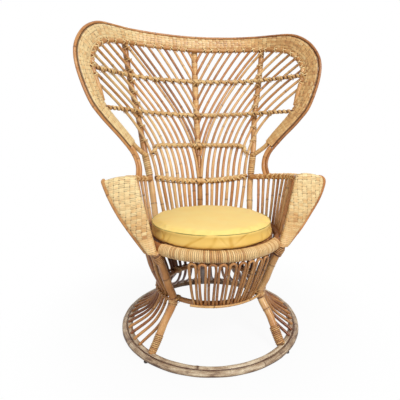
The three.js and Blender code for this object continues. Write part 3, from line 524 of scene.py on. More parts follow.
class Making:
    """Vertices, faces and surface values of one piece, in millimetres from the seat axis."""

    def __init__(self, seed):
        self.rng = np.random.default_rng(seed)
        self.points, self.faces, self.grain, self.tint = [], [], [], []
        self.count = 0

    def skin(self, points, faces, grain, tint):
        """Adds a closed skin, turned outward."""
        a, b, c, d = (points[faces[:, k]] for k in range(4))
        quads = faces[:, 3] != faces[:, 2]
        volume = np.einsum("ij,ij->i", a, np.cross(b, c)).sum()
        volume += (np.einsum("ij,ij->i", a, np.cross(c, d)) * quads).sum()
        if volume < 0:
            faces = np.where(quads[:, None], faces[:, [3, 2, 1, 0]], faces[:, [1, 0, 2, 2]])
        self.points.append(points)
        self.faces.append(faces + self.count)
        self.grain.append(grain)
        self.tint.append(tint)
        self.count += len(points)

    def tube(self, points, rows, columns, grain, tint, tips=None):
        """Adds rings of points as a tube, closed on itself or capped at two tips."""
        first = np.arange(rows if tips is None else rows - 1)[:, None] * columns
        after = (first + columns) % (rows * columns)
        k = np.arange(columns)
        k2 = (k + 1) % columns
        faces = np.stack([first + k, first + k2, after + k2, after + k], axis=-1).reshape(-1, 4)
        if tips is not None:
            tip, tail, top = rows * columns, rows * columns + 1, (rows - 1) * columns
            caps = [(tip, b, a, a) for a, b in zip(k, k2)]
            caps += [(tail, top + a, top + b, top + b) for a, b in zip(k, k2)]
            faces = np.vstack([faces, np.array(caps)])
            points = np.vstack([points, tips])
            grain, tint = (np.vstack([values, values[[0, top]]]) for values in (grain, tint))
        self.skin(points, faces, grain, tint)

    def piece(self, name, slot, *nodes, body="frame", material=None):
        """Makes the object, rides it on its body and hides the solids it stands for."""
        points = np.concatenate(self.points)
        fuller = waist_spread(points[:, 2])
        points[:, 0] *= 1 + WAIST_SPREAD * fuller
        points[:, 2] -= WAIST_DROP * fuller
        points /= 1000
        points[:, 1] += AXIS_Y
        faces = np.concatenate(self.faces)
        quads = faces[:, 3] != faces[:, 2]
        mesh = bpy.data.meshes.new(name)
        mesh.from_pydata(points.tolist(), [], faces[quads].tolist() + faces[~quads, :3].tolist())
        write_values(mesh, np.concatenate(self.grain) / 1000, np.concatenate(self.tint))
        mesh.shade_smooth()
        mesh.materials.append(material or finish(slot))
        obj = bpy.data.objects.new(name, mesh)
        bpy.context.scene.collection.objects.link(obj)
        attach(obj, body)
        if nodes:
            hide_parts(*nodes)


def frames_along(path):
    """Tangents of a path and directions across it that turn with it as little as they can."""
    ahead = unit(np.gradient(path, axis=0))
    across = np.empty_like(ahead)
    last = np.array((0.0, 0.0, 1.0))
    if abs(last @ ahead[0]) > 0.9:
        last = np.array((0.0, 1.0, 0.0))
    for i, t in enumerate(ahead):
        last = last - t * (last @ t)
        last /= max(math.sqrt(last @ last), 1e-9)
        across[i] = last
    return ahead, across


def spread(value, count):
    return np.broadcast_to(np.asarray(value, float), (count,)).copy()


def sweep(making, path, out, width, thick, tone, dark=0.0, sides=8, closed=False, wear_and_shade=0.0):
    """A strip or cane of oval section along a path, thick along out, with painted shade on its underside."""
    n = len(path)
    if closed:
        ahead = unit(np.roll(path, -1, 0) - np.roll(path, 1, 0))
    else:
        ahead = unit(np.gradient(path, axis=0))
    out = across_to(out, ahead)
    side = np.cross(ahead, out)
    width, thick, tone, dark = (spread(value, n) for value in (width, thick, tone, dark))
    run = run_along(path)
    if not closed:
        def beyond(i, sign, steps):
            least = min(width[i], thick[i])
            return zip(*[(path[i] + ahead[i] * sign * reach * least, out[i], side[i], width[i] * share,
                          thick[i] * share, tone[i], dark[i], run[i] + sign * reach * least)
                         for reach, share in steps])

        rows = zip(beyond(0, -1, ROUND_ENDS), (path, out, side, width, thick, tone, dark, run),
                   beyond(n - 1, 1, ROUND_ENDS[::-1]))
        rows = [np.concatenate([np.array(before), middle, np.array(after)]) for before, middle, after in rows]
        path, out, side, width, thick, tone, dark, run = rows
        n = len(path)
    turn = full_turn(sides)
    cos, sin = np.cos(turn), np.sin(turn)
    aside, above = width[:, None] * cos, thick[:, None] * sin
    points = (path[:, None] + side[:, None] * aside[..., None] + out[:, None] * above[..., None]).reshape(-1, 3)
    grain = np.stack([np.repeat(run, sides), aside.ravel(), above.ravel()], axis=1)
    grain = grain + making.rng.uniform(0, GRAIN_SHIFT, 3)
    upward = (side[:, 2:] * cos + out[:, 2:] * sin).ravel()
    # Painted shade: the tone darkens on faces that turn downward
    tones = np.repeat(tone, sides) - wear_and_shade * smooth((SHADE_BELOW - upward) / (2 * SHADE_BELOW))
    chance = np.full(n * sides, making.rng.random())
    tint = np.stack([tones, np.repeat(dark, sides), chance, np.ones(n * sides)], axis=1)
    making.tube(points, n, sides, grain, tint, None if closed else np.stack([path[0], path[-1]]))


def cane(making, path, radius, tone=0.5, nodes=0.0, sides=10, closed=False, wear=0.06, dark=0.0, first=None):
    """A natural cane: slightly uneven, with a darker raised ring at every node."""
    rng = making.rng
    run = run_along(path)
    wave = rng.uniform(0, 6.3, 4)
    uneven = 1 + 0.025 * np.sin(run / 37 + wave[0]) + 0.018 * np.sin(run / 15 + wave[1])
    if closed:
        uneven[:] = 1.0
    tones = tone + wear * (np.sin(run / 61 + wave[2]) + 0.6 * np.sin(run / 23 + wave[3]))
    dark = spread(dark, len(path))
    if nodes:
        spot = rng.uniform(0.2, 0.9) * nodes if first is None else first
        while spot < run[-1]:
            away = run - spot
            uneven += NODE_SWELL * hump(away, 3.2)
            dark += NODE_SHADE * hump(away, 1.9, 2.2)
            tones += NODE_GLEAM * hump(away, 7, -7)
            spot += nodes * rng.uniform(0.8, 1.2)
    _, across = frames_along(path)
    sweep(making, path, across, radius * uneven, radius * uneven, tones, dark, sides, closed)


def ring_path(radius, z, count):
    return polar(np.linspace(0, 360, count, endpoint=False), radius, np.full(count, z))


def arc_path(start, end, count, radius, z):
    return polar(np.linspace(start, end, count), radius, np.full(count, z))


def outward(path):
    """Level directions away from the seat axis."""
    return unit(path * LEVEL)


def wind(making, core, start, length, radius, turns, width, thick, tones, steps=22):
    """A strip of peel wound round a core line."""
    run = run_along(core)
    ahead, across = frames_along(core)
    spots = start + length * np.linspace(0, 1, int(turns * steps) + 1)
    middle, forward = sample(spots, run, core), unit(sample(spots, run, ahead))
    over = across_to(unit(sample(spots, run, across)), forward)
    turn = 2 * np.pi * turns * np.linspace(0, 1, len(spots))
    out = over * np.cos(turn)[:, None] + np.cross(forward, over) * np.sin(turn)[:, None]
    number = np.clip(turn / (2 * np.pi), 0, len(tones) - 1)
    low = np.floor(number).astype(int)
    high = np.minimum(low + 1, len(tones) - 1)
    tone = lerp(np.asarray(tones)[low], np.asarray(tones)[high], smooth((number - low - 0.85) / 0.15))
    sweep(making, middle + out * radius, out, width / 2, thick / 2, tone)


def wrap(making, core, start, length, radius, turns, width, thick, tones):
    """A winding over a sleeve painted dark, which shows as painted shade in the lines between the turns."""
    run = run_along(core)
    sleeve = core[(run >= start - 1) & (run <= start + length + 1)]
    # The sleeve is painted dark, as painted shade between the turns
    cane(making, sleeve, radius - 0.4, tone=0.2, sides=14, dark=0.8)
    wind(making, core, start, length, radius, turns, width, thick, tones)


def lash(making, centre, first, second, out, reach, depth, tone=0.7, turns=2, straight=False):
    """Strips of peel tied crosswise where two canes cross, or straight along first and second."""
    width, thick = sizes("lashing") / 2, sizes("peel") / 2
    first, second, out = (unit(np.asarray(v, float)) for v in (first, second, out))
    second = unit(second - out * (second @ out))
    first = unit(first - out * (first @ out))
    turn = full_turn(LASH_POINTS) + 0.3
    for sign in (1, -1):
        diagonal, beside = unit(first + sign * second), unit(first - sign * second)
        if straight:
            diagonal = first if sign > 0 else second
            beside = np.cross(diagonal, out)
        for k in range(turns):
            shift = beside * (k - (turns - 1) / 2) * width * LASH_PITCH
            away = diagonal * np.cos(turn)[:, None] * reach + out * np.sin(turn)[:, None] * depth
            path = centre + shift + away * (1.0 + LASH_OVER * (sign > 0))
            tint = tone + making.rng.uniform(-0.15, 0.15)
            sweep(making, path, away, width, thick, tint, sides=6, closed=True)


def hashed(i, j, seed):
    value = np.sin(i * 127.1 + j * 311.7 + seed * 74.7) * 43758.5453
    return value - np.floor(value)


def basket(u, v, stake, row, seed, stake_tone=0.56, split=0.0):
    """Height, tone and painted shade in the gaps of a basket weave of flat strips, u along it and v across, its
    rows split in two.
    """
    u = u + 1.3 * np.sin(v / 19 + seed) + 0.8 * np.sin(u / 31)
    v = v + 0.9 * np.sin(u / 27 + 2 * seed)
    i, j = np.floor(u / stake), np.floor(v / row)
    fu, fv = u / stake - i, v / row - j
    over = (i + j) % 2 == 0
    edge_u, edge_v = np.abs(2 * fu - 1), np.abs(2 * fv - 1)
    weft = (0.45 + 0.55 * np.sin(np.pi * fu)) * (1 - 0.7 * edge_v ** 5)
    post = (0.20 + 0.45 * np.sin(np.pi * fv)) * (1 - 0.8 * edge_u ** 5)
    height = np.where(over, weft, post)
    rows = ROW_TONE + ROW_CHANGE * (hashed(0 * i, j, seed) - 0.5)
    stakes = stake_tone + STAKE_CHANGE * (hashed(i, 0 * j, seed + 3) - 0.5)
    tone = np.where(over, rows, stakes) + CROSSING_CHANGE * (hashed(i, j, seed + 7) - 0.5)
    # Painted shade in the lines between strips and in the holes at their corners
    beside = np.where(over, smooth((edge_v - 0.62) / 0.34), smooth((edge_u - 0.76) / 0.24) * 0.9)
    beside = np.maximum(beside, split * np.where(over, smooth((0.26 - edge_v) / 0.2), 0))
    lines = beside * (0.35 + 0.65 * hashed(i, j, seed + 5))
    corner = smooth((edge_u - 0.62) / 0.34) * smooth((edge_v - 0.5) / 0.42)
    open_corner = hashed(np.round(u / stake), np.round(v / row), seed + 11) > CLOSED_CORNERS
    holes = corner * np.where(open_corner, 1.0, 0.25)
    return height, tone, np.clip(np.maximum(lines * 0.85, holes), 0, 1)


def strips(u, width, seed):
    """Height, tone and painted shade in the gaps of strips wound close beside each other."""
    i = np.floor(u / width)
    edge = np.abs(2 * (u / width - i) - 1)
    tone = STRIP_TONE + ROW_CHANGE * (hashed(i, 0 * i, seed) - 0.5)
    # Painted shade in the lines between the strips
    gap = 0.7 * smooth((edge - 0.66) / 0.34) * (0.25 + 0.75 * hashed(i, 0 * i, seed + 2))
    return 0.75 * np.sqrt(np.clip(1 - edge ** 3, 0, 1)), tone, gap


def round_sleeve(columns, wide, deep):
    """Share across, height off the middle and side of the points round a flat sleeve with full edges."""
    turn = full_turn(columns)[None]
    cos, sin = np.cos(turn), np.sin(turn)
    return 0.5 - 0.5 * signed_power(cos, wide), signed_power(sin, deep), sin


def merged(woven, wound, low):
    """Height, tone and painted shade of a weave that goes over into wound strips."""
    return [lerp(a, b, low) for a, b in zip(woven, wound)]


def woven_skin(making, middle, normal, height, tone, gap, u, v):
    """A tube of points raised along their normals and capped at both ends."""
    rows, columns = height.shape
    points = (middle + normal * height[..., None]).reshape(-1, 3)
    grain = np.stack([u, v, 0 * u], axis=-1).reshape(-1, 3)
    patches = hashed(np.floor(u / 9), np.floor(v / 7), 1)
    tint = np.stack([tone, gap, patches, 0 * u + 1], axis=-1).reshape(-1, 4)
    making.tube(points, rows, columns, grain, tint, np.stack([middle[0].mean(0), middle[-1].mean(0)]))


# Finishes

def give(tree, node, inputs):
    """Sets or links inputs of a node, by name or number."""
    for key, value in inputs.items():
        if isinstance(value, bpy.types.NodeSocket):
            tree.links.new(value, node.inputs[key])
        else:
            node.inputs[key].default_value = value


def add_node(tree, kind, inputs=None, **settings):
    node = tree.nodes.new(kind)
    for key, value in settings.items():
        setattr(node, key, value)
    give(tree, node, inputs or {})
    return node


def maths(tree, operation, a, b, clamp=False):
    return add_node(tree, "ShaderNodeMath", {0: a, 1: b}, operation=operation, use_clamp=clamp).outputs[0]


def about(tree, value, middle, factor, clamp=False):
    """How far a value is from a middle one, times a factor."""
    return maths(tree, "MULTIPLY", maths(tree, "SUBTRACT", value, middle), factor, clamp)


def rising(tree, value, change, least):
    """A value scaled to rise from a least one."""
    return maths(tree, "ADD", maths(tree, "MULTIPLY", value, change), least)


def mixed(tree, share, a, b, blend="MIX"):
    inputs = {0: share, 6: a, 7: b}
    return add_node(tree, "ShaderNodeMix", inputs, data_type="RGBA", blend_type=blend).outputs[2]


def ramp(tree, share, stops):
    node = add_node(tree, "ShaderNodeValToRGB", {0: share})
    elements = node.color_ramp.elements
    for i, (place, value) in enumerate(stops):
        element = elements[i] if i < 2 else elements.new(place)
        element.position = place
        element.color = value
    return node.outputs[0]


def noise(tree, vector, scale, stretch=(1, 1, 1), detail=2.0, rough=0.5):
    stretched = add_node(tree, "ShaderNodeVectorMath", {0: vector, 1: stretch}, operation="MULTIPLY").outputs[0]
    inputs = {"Vector": stretched, "Scale": scale, "Detail": detail, "Roughness": rough}
    return add_node(tree, "ShaderNodeTexNoise", inputs).outputs[0]


def new_finish(name):
    material = bpy.data.materials.new(name)
    material.use_nodes = True
    tree = material.node_tree
    shader = next(n for n in tree.nodes if n.type == "BSDF_PRINCIPLED")
    return material, tree, shader


def grain_of(tree):
    """The place along the grain that each vertex was given."""
    return add_node(tree, "ShaderNodeAttribute", attribute_name="grain").outputs["Vector"]


def tint_of(tree):
    """The tone, the darkness of node rings and of painted shade, and the chance value that each vertex was
    given.
    """
    tint = add_node(tree, "ShaderNodeAttribute", attribute_name="tint").outputs["Color"]
    return add_node(tree, "ShaderNodeSeparateColor", {0: tint}).outputs


def bumped(tree, height, strength, distance):
    inputs = {"Height": height, "Strength": strength, "Distance": distance}
    return add_node(tree, "ShaderNodeBump", inputs).outputs[0]


def cane_finish(name, tones, lift=0.0, contrast=1.0, rough=0.40, coat=0.2, speck=0.35, red=0.55):
    """Varnished cane or peel: streaks along the cane, blotches, specks, dark node rings, and painted shade in
    gaps.
    """
    material, tree, shader = new_finish(name)
    tone, gap, chance = tint_of(tree)
    grain = grain_of(tree)
    streaks = noise(tree, grain, 1.0, stretch=(14, 620, 620), detail=3.0, rough=0.6)
    blotches = noise(tree, grain, 1.0, stretch=(34, 75, 75))
    flecks = noise(tree, grain, 1.0, stretch=(160, 420, 420))
    value = maths(tree, "ADD", tone, lift)
    value = maths(tree, "ADD", value, about(tree, streaks, 0.5, 0.6 * contrast))
    value = maths(tree, "ADD", value, about(tree, blotches, 0.5, 0.5 * contrast))
    dark, mid, pale = tones
    base = ramp(tree, value, [(0.06, dark), (1.0, pale), (0.52, mid)])
    base = mixed(tree, about(tree, chance, 0.5, 2.0 * red, clamp=True), base, RUDDY, "MULTIPLY")
    specks = about(tree, flecks, 0.60, 7.0, clamp=True)
    base = mixed(tree, maths(tree, "MULTIPLY", specks, speck), base, dark)
    # Node rings, and painted shade in gaps and under things, mix toward the dark colour
    base = mixed(tree, maths(tree, "MULTIPLY", gap, 0.92, clamp=True), base, colour("gap"))
    give(tree, shader, {
        "Base Color": base, "Roughness": rising(tree, blotches, 0.22, rough - 0.11),
        "Specular IOR Level": SHINE, "Coat Weight": coat, "Coat Roughness": 0.22,
        "Normal": bumped(tree, streaks, 0.35, 0.0006),
    })
    return material


def finish(slot):
    """The finish of one of the record's material slots, made once."""
    name = "chair_" + slot
    made = bpy.data.materials.get(name)
    if made:
        return made
    if slot in CANE_LOOKS:
        tones, look = CANE_LOOKS[slot]
        return cane_finish(name, [colour(tones + depth) for depth in ("_dark", "_mid", "_pale")], **look)
    return rubber_finish(name) if slot == "glide" else leather_finish(name)


def rubber_finish(name):
    material, tree, shader = new_finish(name)
    place = add_node(tree, "ShaderNodeNewGeometry").outputs["Position"]
    dust = noise(tree, place, 180.0, detail=3.0)
    give(tree, shader, {
        "Base Color": ramp(tree, dust, [(0.35, colour("glide")), (0.9, DUST)]),
        "Roughness": rising(tree, dust, 0.3, 0.45), "Normal": bumped(tree, dust, 0.2, 0.0004),
    })
    return material


def leather_finish(name):
    """Smooth leather cover, paler where it is rubbed, with painted shade on its wall and in its folds."""
    material, tree, shader = new_finish(name)
    grain, depth = grain_of(tree), tint_of(tree)[1]
    clouds = noise(tree, grain, 14.0, detail=3.0)
    pores = noise(tree, grain, 900.0)
    base = ramp(tree, clouds, [(0.3, colour("cover")), (0.75, colour("cover_worn"))])
    # Painted shade: the cover darkens on its wall and in its folds
    base = mixed(tree, maths(tree, "MULTIPLY", depth, 0.85, clamp=True), base, COVER_SHADE)
    give(tree, shader, {
        "Base Color": base, "Roughness": rising(tree, clouds, 0.25, 0.40), "Specular IOR Level": SHINE,
        "Sheen Weight": 0.05, "Normal": bumped(tree, pores, 0.12, 0.0003),
    })
    return material


def piping_finish():
    """Worn piping, which shows the cover's colour in places."""
    material, tree, shader = new_finish("chair_piping")
    wear_and_shade = noise(tree, grain_of(tree), 22.0)
    base = ramp(tree, wear_and_shade, [(0.42, colour("piping")), (0.7, colour("cover"))])
    give(tree, shader, {"Base Color": base, "Roughness": 0.5})
    return material


# Pieces

def beside_waist(radius):
    return WAIST_RADIUS + WAIST_CANE + FIT + radius


def beside_seat(radius):
    return SEAT_RADIUS + SEAT_CANE + FIT + radius


def leg_line(foot, waist, top, covered):
    """Middle line of a leg, from the floor ring past the waist to the seat; a covered top ends lower."""
    at_waist, at_seat = beside_waist(sizes("leg_cane")), beside_seat(sizes("leg_cane"))
    points = []
    for t in (1.0, 0.5, 0.0):
        radius, height = lerp(at_waist, FOOT_RADIUS, t), lerp(WAIST_HEIGHT, FOOT_HEIGHT, t)
        points.append(polar(lerp(waist, foot, t), radius, height))
    for t in (0.35, 0.7, 0.95 if covered else 1.06):
        radius = lerp(at_waist, at_seat, t) - LEG_BOW * math.sin(math.pi * t)
        points.append(polar(lerp(waist, top, t), radius, lerp(WAIST_HEIGHT, SEAT_HEIGHT, t)))
    return bend(points, FINE_STEP)


class CHAIR_OT_base(bpy.types.Operator):
    """Make the two floor rings, with painted shade on their undersides, and the glides under them"""

    bl_idname = "chair.base"
    bl_label = "Base rings and glides"

    def execute(self, context):
        self.ring("base_ring", BASE_RADIUS, BASE_HEIGHT, BASE_CANE, 1, 0.68)
        self.ring("base_edge_ring", BASE_EDGE_RADIUS, BASE_EDGE_HEIGHT, BASE_EDGE_CANE, 2, 0.58)
        for place, (foot, _, _) in LEG_ANGLES.items():
            self.glide(place, foot)
        return {"FINISHED"}

    def ring(self, name, radius, height, thick, seed, tone):
        making = Making(seed)
        path = ring_path(radius, height, RING_POINTS)
        run = np.linspace(0, 2 * np.pi * radius, RING_POINTS, endpoint=False)
        tube = thick * (1 + 0.02 * np.sin(9 * run / radius) + 0.02 * np.sin(23 * run / radius + seed))
        tones = tone + 0.10 * np.sin(3 * run / radius + seed) + 0.07 * np.sin(11 * run / radius)
        dark = np.zeros(RING_POINTS)
        for spot in making.rng.uniform(0, run[-1], RING_NODES):
            tube += 0.5 * hump(run - spot, 4)
            dark += 0.8 * hump(run - spot, 2.6, 2)
        sweep(making, path, outward(path), tube, tube, tones, dark, sides=14, closed=True, wear_and_shade=RING_UNDERSIDE_SHADE)
        if name == "base_ring":
            # A thin dark cane in the groove between the rings, as painted shade where they meet
            groove_shade = ring_path(radius + thick, height + 4.5, 360)
            sweep(making, groove_shade, outward(groove_shade), width=3.0, thick=2.6, tone=0.15, dark=0.6, sides=6,
                  closed=True)
        making.piece(name + "_cane", "dark_cane", name)

    def glide(self, place, foot):
        making = Making(9)
        radii, heights = np.array(GLIDE_PROFILE).T
        turn = full_turn(28)
        middle = polar(foot, BASE_EDGE_RADIUS + 0.5, 0.0)
        path = middle + np.stack([0 * heights, 0 * heights, heights], axis=1)
        circle = np.stack([np.cos(turn), np.sin(turn), 0 * turn], axis=1)
        grid = path[:, None] + circle * radii[:, None, None]
        plain = np.zeros(grid.shape[:2])
        woven_skin(making, grid, np.zeros_like(grid), plain, plain, plain, plain, plain)
        making.piece("rubber_glide_" + place, "glide", "glide_" + place)


class CHAIR_OT_legs(bpy.types.Operator):
    """Make the legs with their node rings, foot windings and waist lashings"""

    bl_idname = "chair.legs"
    bl_label = "Legs"

    def execute(self, context):
        radius = sizes("leg_cane")
        for number, (place, angles) in enumerate(LEG_ANGLES.items()):
            front = place.startswith("front")
            line = leg_line(*angles, covered=front)
            making = Making(20 + number)
            cane(making, line, radius, sides=14, wear=0.12, **LEG_LOOKS[place])
            making.piece("leg_cane_" + place, "honey_cane", "leg_" + place)
            if front:
                ties = Making(30 + number)
                tones = ties.rng.uniform(0.25, 0.6, 14)
                wrap(ties, line, start=3, length=60, radius=radius + FOOT_WINDINGS[place], turns=10, width=4.4,
                     thick=2.8, tones=tones)
                ties.piece("foot_winding_peel_" + place, "pale_peel", "foot_winding_" + place)
            knots = Making(40 + number)
            middle = polar(angles[1], beside_waist(radius) - WAIST_TIE_INSET, WAIST_HEIGHT)
            out, tangent = round_axis(angles[1])
            lash(knots, middle, tangent, UP, out, reach=14.5, depth=22.5, tone=0.55, turns=4)
            if front:
                tones = knots.rng.uniform(0.12, 0.42, 10)
                for height, length, thicker, thick in LEG_WINDINGS:
                    start = FINE_STEP * int(np.argmin(np.abs(line[:, 2] - height))) - 14
                    wrap(knots, line, start, length, radius + thicker, 5, width=3.9, thick=thick, tones=tones)
            knots.piece("leg_ties_" + place, "pale_peel")
        return {"FINISHED"}


def skirt_line(angle):
    """Middle line of a skirt cane, from outside the seat ring past the waist to the top of the floor ring."""
    radius = sizes("skirt_cane")
    at_waist, at_seat = beside_waist(radius), beside_seat(radius)
    on_ring = BASE_HEIGHT + BASE_CANE + radius / 2 - 2
    flare = lerp(at_waist, BASE_RADIUS, 0.42) - SKIRT_FLARE / 2
    points = [
        polar(angle, at_seat, SEAT_HEIGHT + 4),
        polar(angle, lerp(at_waist, at_seat, 0.52) - 2, lerp(WAIST_HEIGHT, SEAT_HEIGHT, 0.52)),
        polar(angle, at_waist, WAIST_HEIGHT),
        polar(angle + BASE_TURN / 2, flare, lerp(WAIST_HEIGHT, BASE_HEIGHT, 0.55)),
        polar(angle + BASE_TURN, BASE_RADIUS + 4, on_ring),
    ]
    return bend(points, 4.0)


class CHAIR_OT_skirts(bpy.types.Operator):
    """Make the flared skirt canes with the binding that ties them at the waist"""

    bl_idname = "chair.skirts"
    bl_label = "Skirts"

    def execute(self, context):
        for side_name, side in SIDES.items():
            for number, (name, group) in enumerate(SKIRT_GROUPS.items()):
                self.group(f"{name}_{side_name}", side, number, *group)
        return {"FINISHED"}

    def group(self, name, side, number, start, end, spaces, first, canes):
        seed = 3 * number + (side > 0) * 10
        making, ties = Making(50 + seed), Making(70 + seed)
        radius = sizes("skirt_cane")
        binding = beside_waist(2 * radius) + sizes("binding_cane") - 1.2
        for i in range(canes):
            angle = side * lerp(start, end, (first + i) / spaces)
            jitter = making.rng.uniform(-0.35, 0.35)
            # Groups further back get a darker tone, and near the seat they get painted shade, the more the
            # further back they are
            tone = making.rng.choice(SKIRT_TONES) + making.rng.uniform(-0.06, 0.06) - 0.08 * number
            line = skirt_line(angle + jitter)
            shaded = 0.35 * number * smooth((line[:, 2] - WAIST_HEIGHT + 20) / 40)
            cane(making, line, radius, tone, nodes=170, sides=8, dark=shaded)
            out, tangent = round_axis(angle)
            spot = polar(angle, binding - 3.5, WAIST_HEIGHT)
            lash(ties, spot, tangent, UP, out, reach=9.0, depth=9.0, tone=0.4, turns=1)
        low = start if first == 1 else lerp(start, end, (first - 0.5) / spaces)
        high = end if first + canes == spaces else lerp(start, end, (first + canes - 0.5) / spaces)
        arc = arc_path(side * low, side * high, 40, binding, WAIST_HEIGHT)
        cane(making, arc, sizes("binding_cane"), tone=0.38, sides=8)
        making.piece("skirt_canes_" + name, "amber_cane", "skirt_" + name)
        ties.piece("skirt_ties_" + name, "pale_peel")


class CHAIR_OT_waist(bpy.types.Operator):
    """Make the waist ring, the hairpin loops on it and the cane that covers their feet"""

    bl_idname = "chair.waist"
    bl_label = "Waist and front loops"

    def execute(self, context):
        making = Making(90)
        ring = ring_path(WAIST_RADIUS, WAIST_HEIGHT, 300)
        cane(making, ring, WAIST_CANE, tone=0.50, nodes=190, sides=12, closed=True)
        making.piece("waist_ring_cane", "amber_cane", "waist_ring")
        loop = sizes("loop_cane")
        top_radius = SEAT_RADIUS + LOOP_OUT
        top = SEAT_HEIGHT - math.sqrt((SEAT_WOUND_CANE + FIT + loop) ** 2 - LOOP_OUT ** 2) + 1.5

        def half_turn(radius):
            return LOOP_PITCH / 2 - np.degrees((loop + 3 * FIT) / radius)

        reach = math.radians(half_turn(top_radius)) * top_radius
        shoulder = top - reach
        lean = math.atan2(top_radius - beside_waist(loop), shoulder - WAIST_HEIGHT)

        def loop_radius(z):
            return top_radius - (shoulder - z) * math.tan(lean)

        for i in range(LOOP_COUNT):
            making = Making(100 + i)
            angle = LOOP_FIRST + LOOP_PITCH * i
            left, right = [], []
            for share in (0.0, 0.5, 0.97):
                z = lerp(WAIST_HEIGHT - 9, shoulder, share)
                left.append(polar(angle - half_turn(loop_radius(z)), loop_radius(z), z))
                right.insert(0, polar(angle + half_turn(loop_radius(z)), loop_radius(z), z))
            for turn in np.radians((150, 120, 90, 60, 30)):
                aside = half_turn(top_radius) * math.cos(turn)
                left.append(polar(angle + aside, top_radius, shoulder + reach * math.sin(turn)))
            cane(making, bend(left + right, 3.5), loop, making.rng.uniform(0.22, 0.50), nodes=210, sides=8)
            making.piece(f"hairpin_loop_{i + 1}", "honey_cane", f"front_loop_{i + 1}")
        making = Making(120)
        cover = loop_radius(WAIST_HEIGHT) + (loop + sizes("binding_cane") + 2 * FIT) / math.cos(lean)
        arc = arc_path(COVER_START, COVER_END, 120, cover, WAIST_HEIGHT)
        cane(making, arc, sizes("binding_cane"), tone=0.42, nodes=120, sides=10)
        making.piece("cover_cane", "pale_peel", "waist_cover_cane")
        return {"FINISHED"}


class CHAIR_OT_seat(bpy.types.Operator):
    """Make the seat ring with its close winding, the bearers and the woven deck"""

    bl_idname = "chair.seat"
    bl_label = "Seat"

    def execute(self, context):
        self.ring()
        for number in (-1, 0, 1):
            making = Making(140 + number)
            y = BEARER_PITCH * number
            half = math.sqrt(SEAT_RADIUS ** 2 - y * y) - 15
            ends = np.array([(-half, y, BEARER_HEIGHT), (half, y, BEARER_HEIGHT)])
            # The bearers are painted dark, as painted shade under the seat
            cane(making, even(ends), BEARER_CANE, tone=0.20, nodes=150, sides=10, dark=0.8)
            making.piece(f"seat_bearer_cane_{number + 2}", "amber_cane", f"seat_bearer_{number + 2}")
        self.deck()
        return {"FINISHED"}

    def ring(self):
        making = Making(130)
        # Where the winding covers the ring it is painted dark, which shows as painted shade between the turns
        dark = np.where(np.abs(np.arange(420) / 420 * 360 - 180) > 180 - SEAT_WOUND, 0.7, 0.0)
        ring = ring_path(SEAT_RADIUS, SEAT_HEIGHT, 420)
        cane(making, ring, SEAT_CANE + 0.8, tone=0.38, nodes=260, sides=16, closed=True, dark=dark)
        making.piece("seat_ring_cane", "amber_cane", "seat_ring")
        making = Making(131)
        core = arc_path(-SEAT_WOUND, SEAT_WOUND, 216, SEAT_RADIUS, SEAT_HEIGHT)
        length = math.radians(2 * SEAT_WOUND) * SEAT_RADIUS
        tones = 0.70 + making.rng.choice(SEAT_TONE_CHANGES, SEAT_TURNS + 2)
        wind(making, core, 0, length, SEAT_CANE + 2.4, SEAT_TURNS, width=5.9, thick=2.8, tones=tones, steps=26)
        making.piece("seat_winding_peel", "pale_peel", "seat_winding")

    def deck(self):
        making = Making(145)
        radius = SEAT_RADIUS - 21.0
        rings = np.r_[np.linspace(2, radius, DECK_RINGS), np.linspace(radius, 2, DECK_RINGS)]
        turn = full_turn(220)
        x, y = rings[:, None] * np.cos(turn), rings[:, None] * np.sin(turn)
        raised, tone, gap = basket(x + 500, y + 500, stake=12.0, row=12.0, seed=4)
        up = np.where(np.arange(2 * DECK_RINGS) < DECK_RINGS, -1.0, 1.0)[:, None]
        flat = np.broadcast_to(SEAT_HEIGHT + 9.3 + 3.4 * up, x.shape)
        grid = np.stack([x, y, flat], axis=-1)
        normal = np.stack([0 * x, 0 * x, np.broadcast_to(up, x.shape)], axis=-1)
        # The deck's underside is painted dark, as painted shade under the seat; the whole deck is also given a
        # darker tone
        gap = np.maximum(gap, np.where(up < 0, 0.9, 0.0))
        woven_skin(making, grid, normal, raised * 0.9, tone - 0.35, gap, x, y)
        making.piece("woven_deck", "amber_cane", "seat_deck")


def cushion_profile(inset):
    """Radius and height of the cushion from the middle of its underside to the middle of its top."""
    radius = CUSHION_RADIUS - inset
    low, seam, top = CUSHION_BOTTOM + inset * 0.4, CUSHION_SEAM - inset * 0.6, CUSHION_TOP - inset * 1.2
    return np.array([
        (0.01, low), (radius * 0.5, low), (radius - 10, low), (radius - 4, low + 4), (radius - 1.5, low + 14),
        (radius - 1.5, seam - 6), (radius, seam), (radius - 5, seam + 1.5),
        (radius * 0.86, lerp(seam, top, 0.45)), (radius * 0.55, lerp(seam, top, 0.85)), (0.01, top),
    ])


def cushion_mesh(profile):
    turn = full_turn(120)
    rows = [np.stack([r * np.cos(turn), r * np.sin(turn), 0 * turn + z], axis=1) for r, z in profile]
    points = np.vstack(rows) / 1000
    points[:, 1] += AXIS_Y
    count = len(turn)
    faces = []
    for r in range(len(profile) - 1):
        for k in range(count):
            k2 = (k + 1) % count
            faces.append((r * count + k, r * count + k2, (r + 1) * count + k2, (r + 1) * count + k))
    faces.append(tuple(reversed(range(count))))
    top = (len(profile) - 1) * count
    faces.append(tuple(range(top, top + count)))
    mesh = bpy.data.meshes.new("leather_cushion")
    mesh.from_pydata(points.tolist(), [], faces)
    return mesh


def apply_all(obj):
    with bpy.context.temp_override(object=obj, active_object=obj, selected_objects=[obj]):
        for modifier in list(obj.modifiers):
            bpy.ops.object.modifier_apply(modifier=modifier.name)


def coordinates(mesh):
    points = np.empty(len(mesh.vertices) * 3)
    mesh.vertices.foreach_get("co", points)
    return points.reshape(-1, 3)


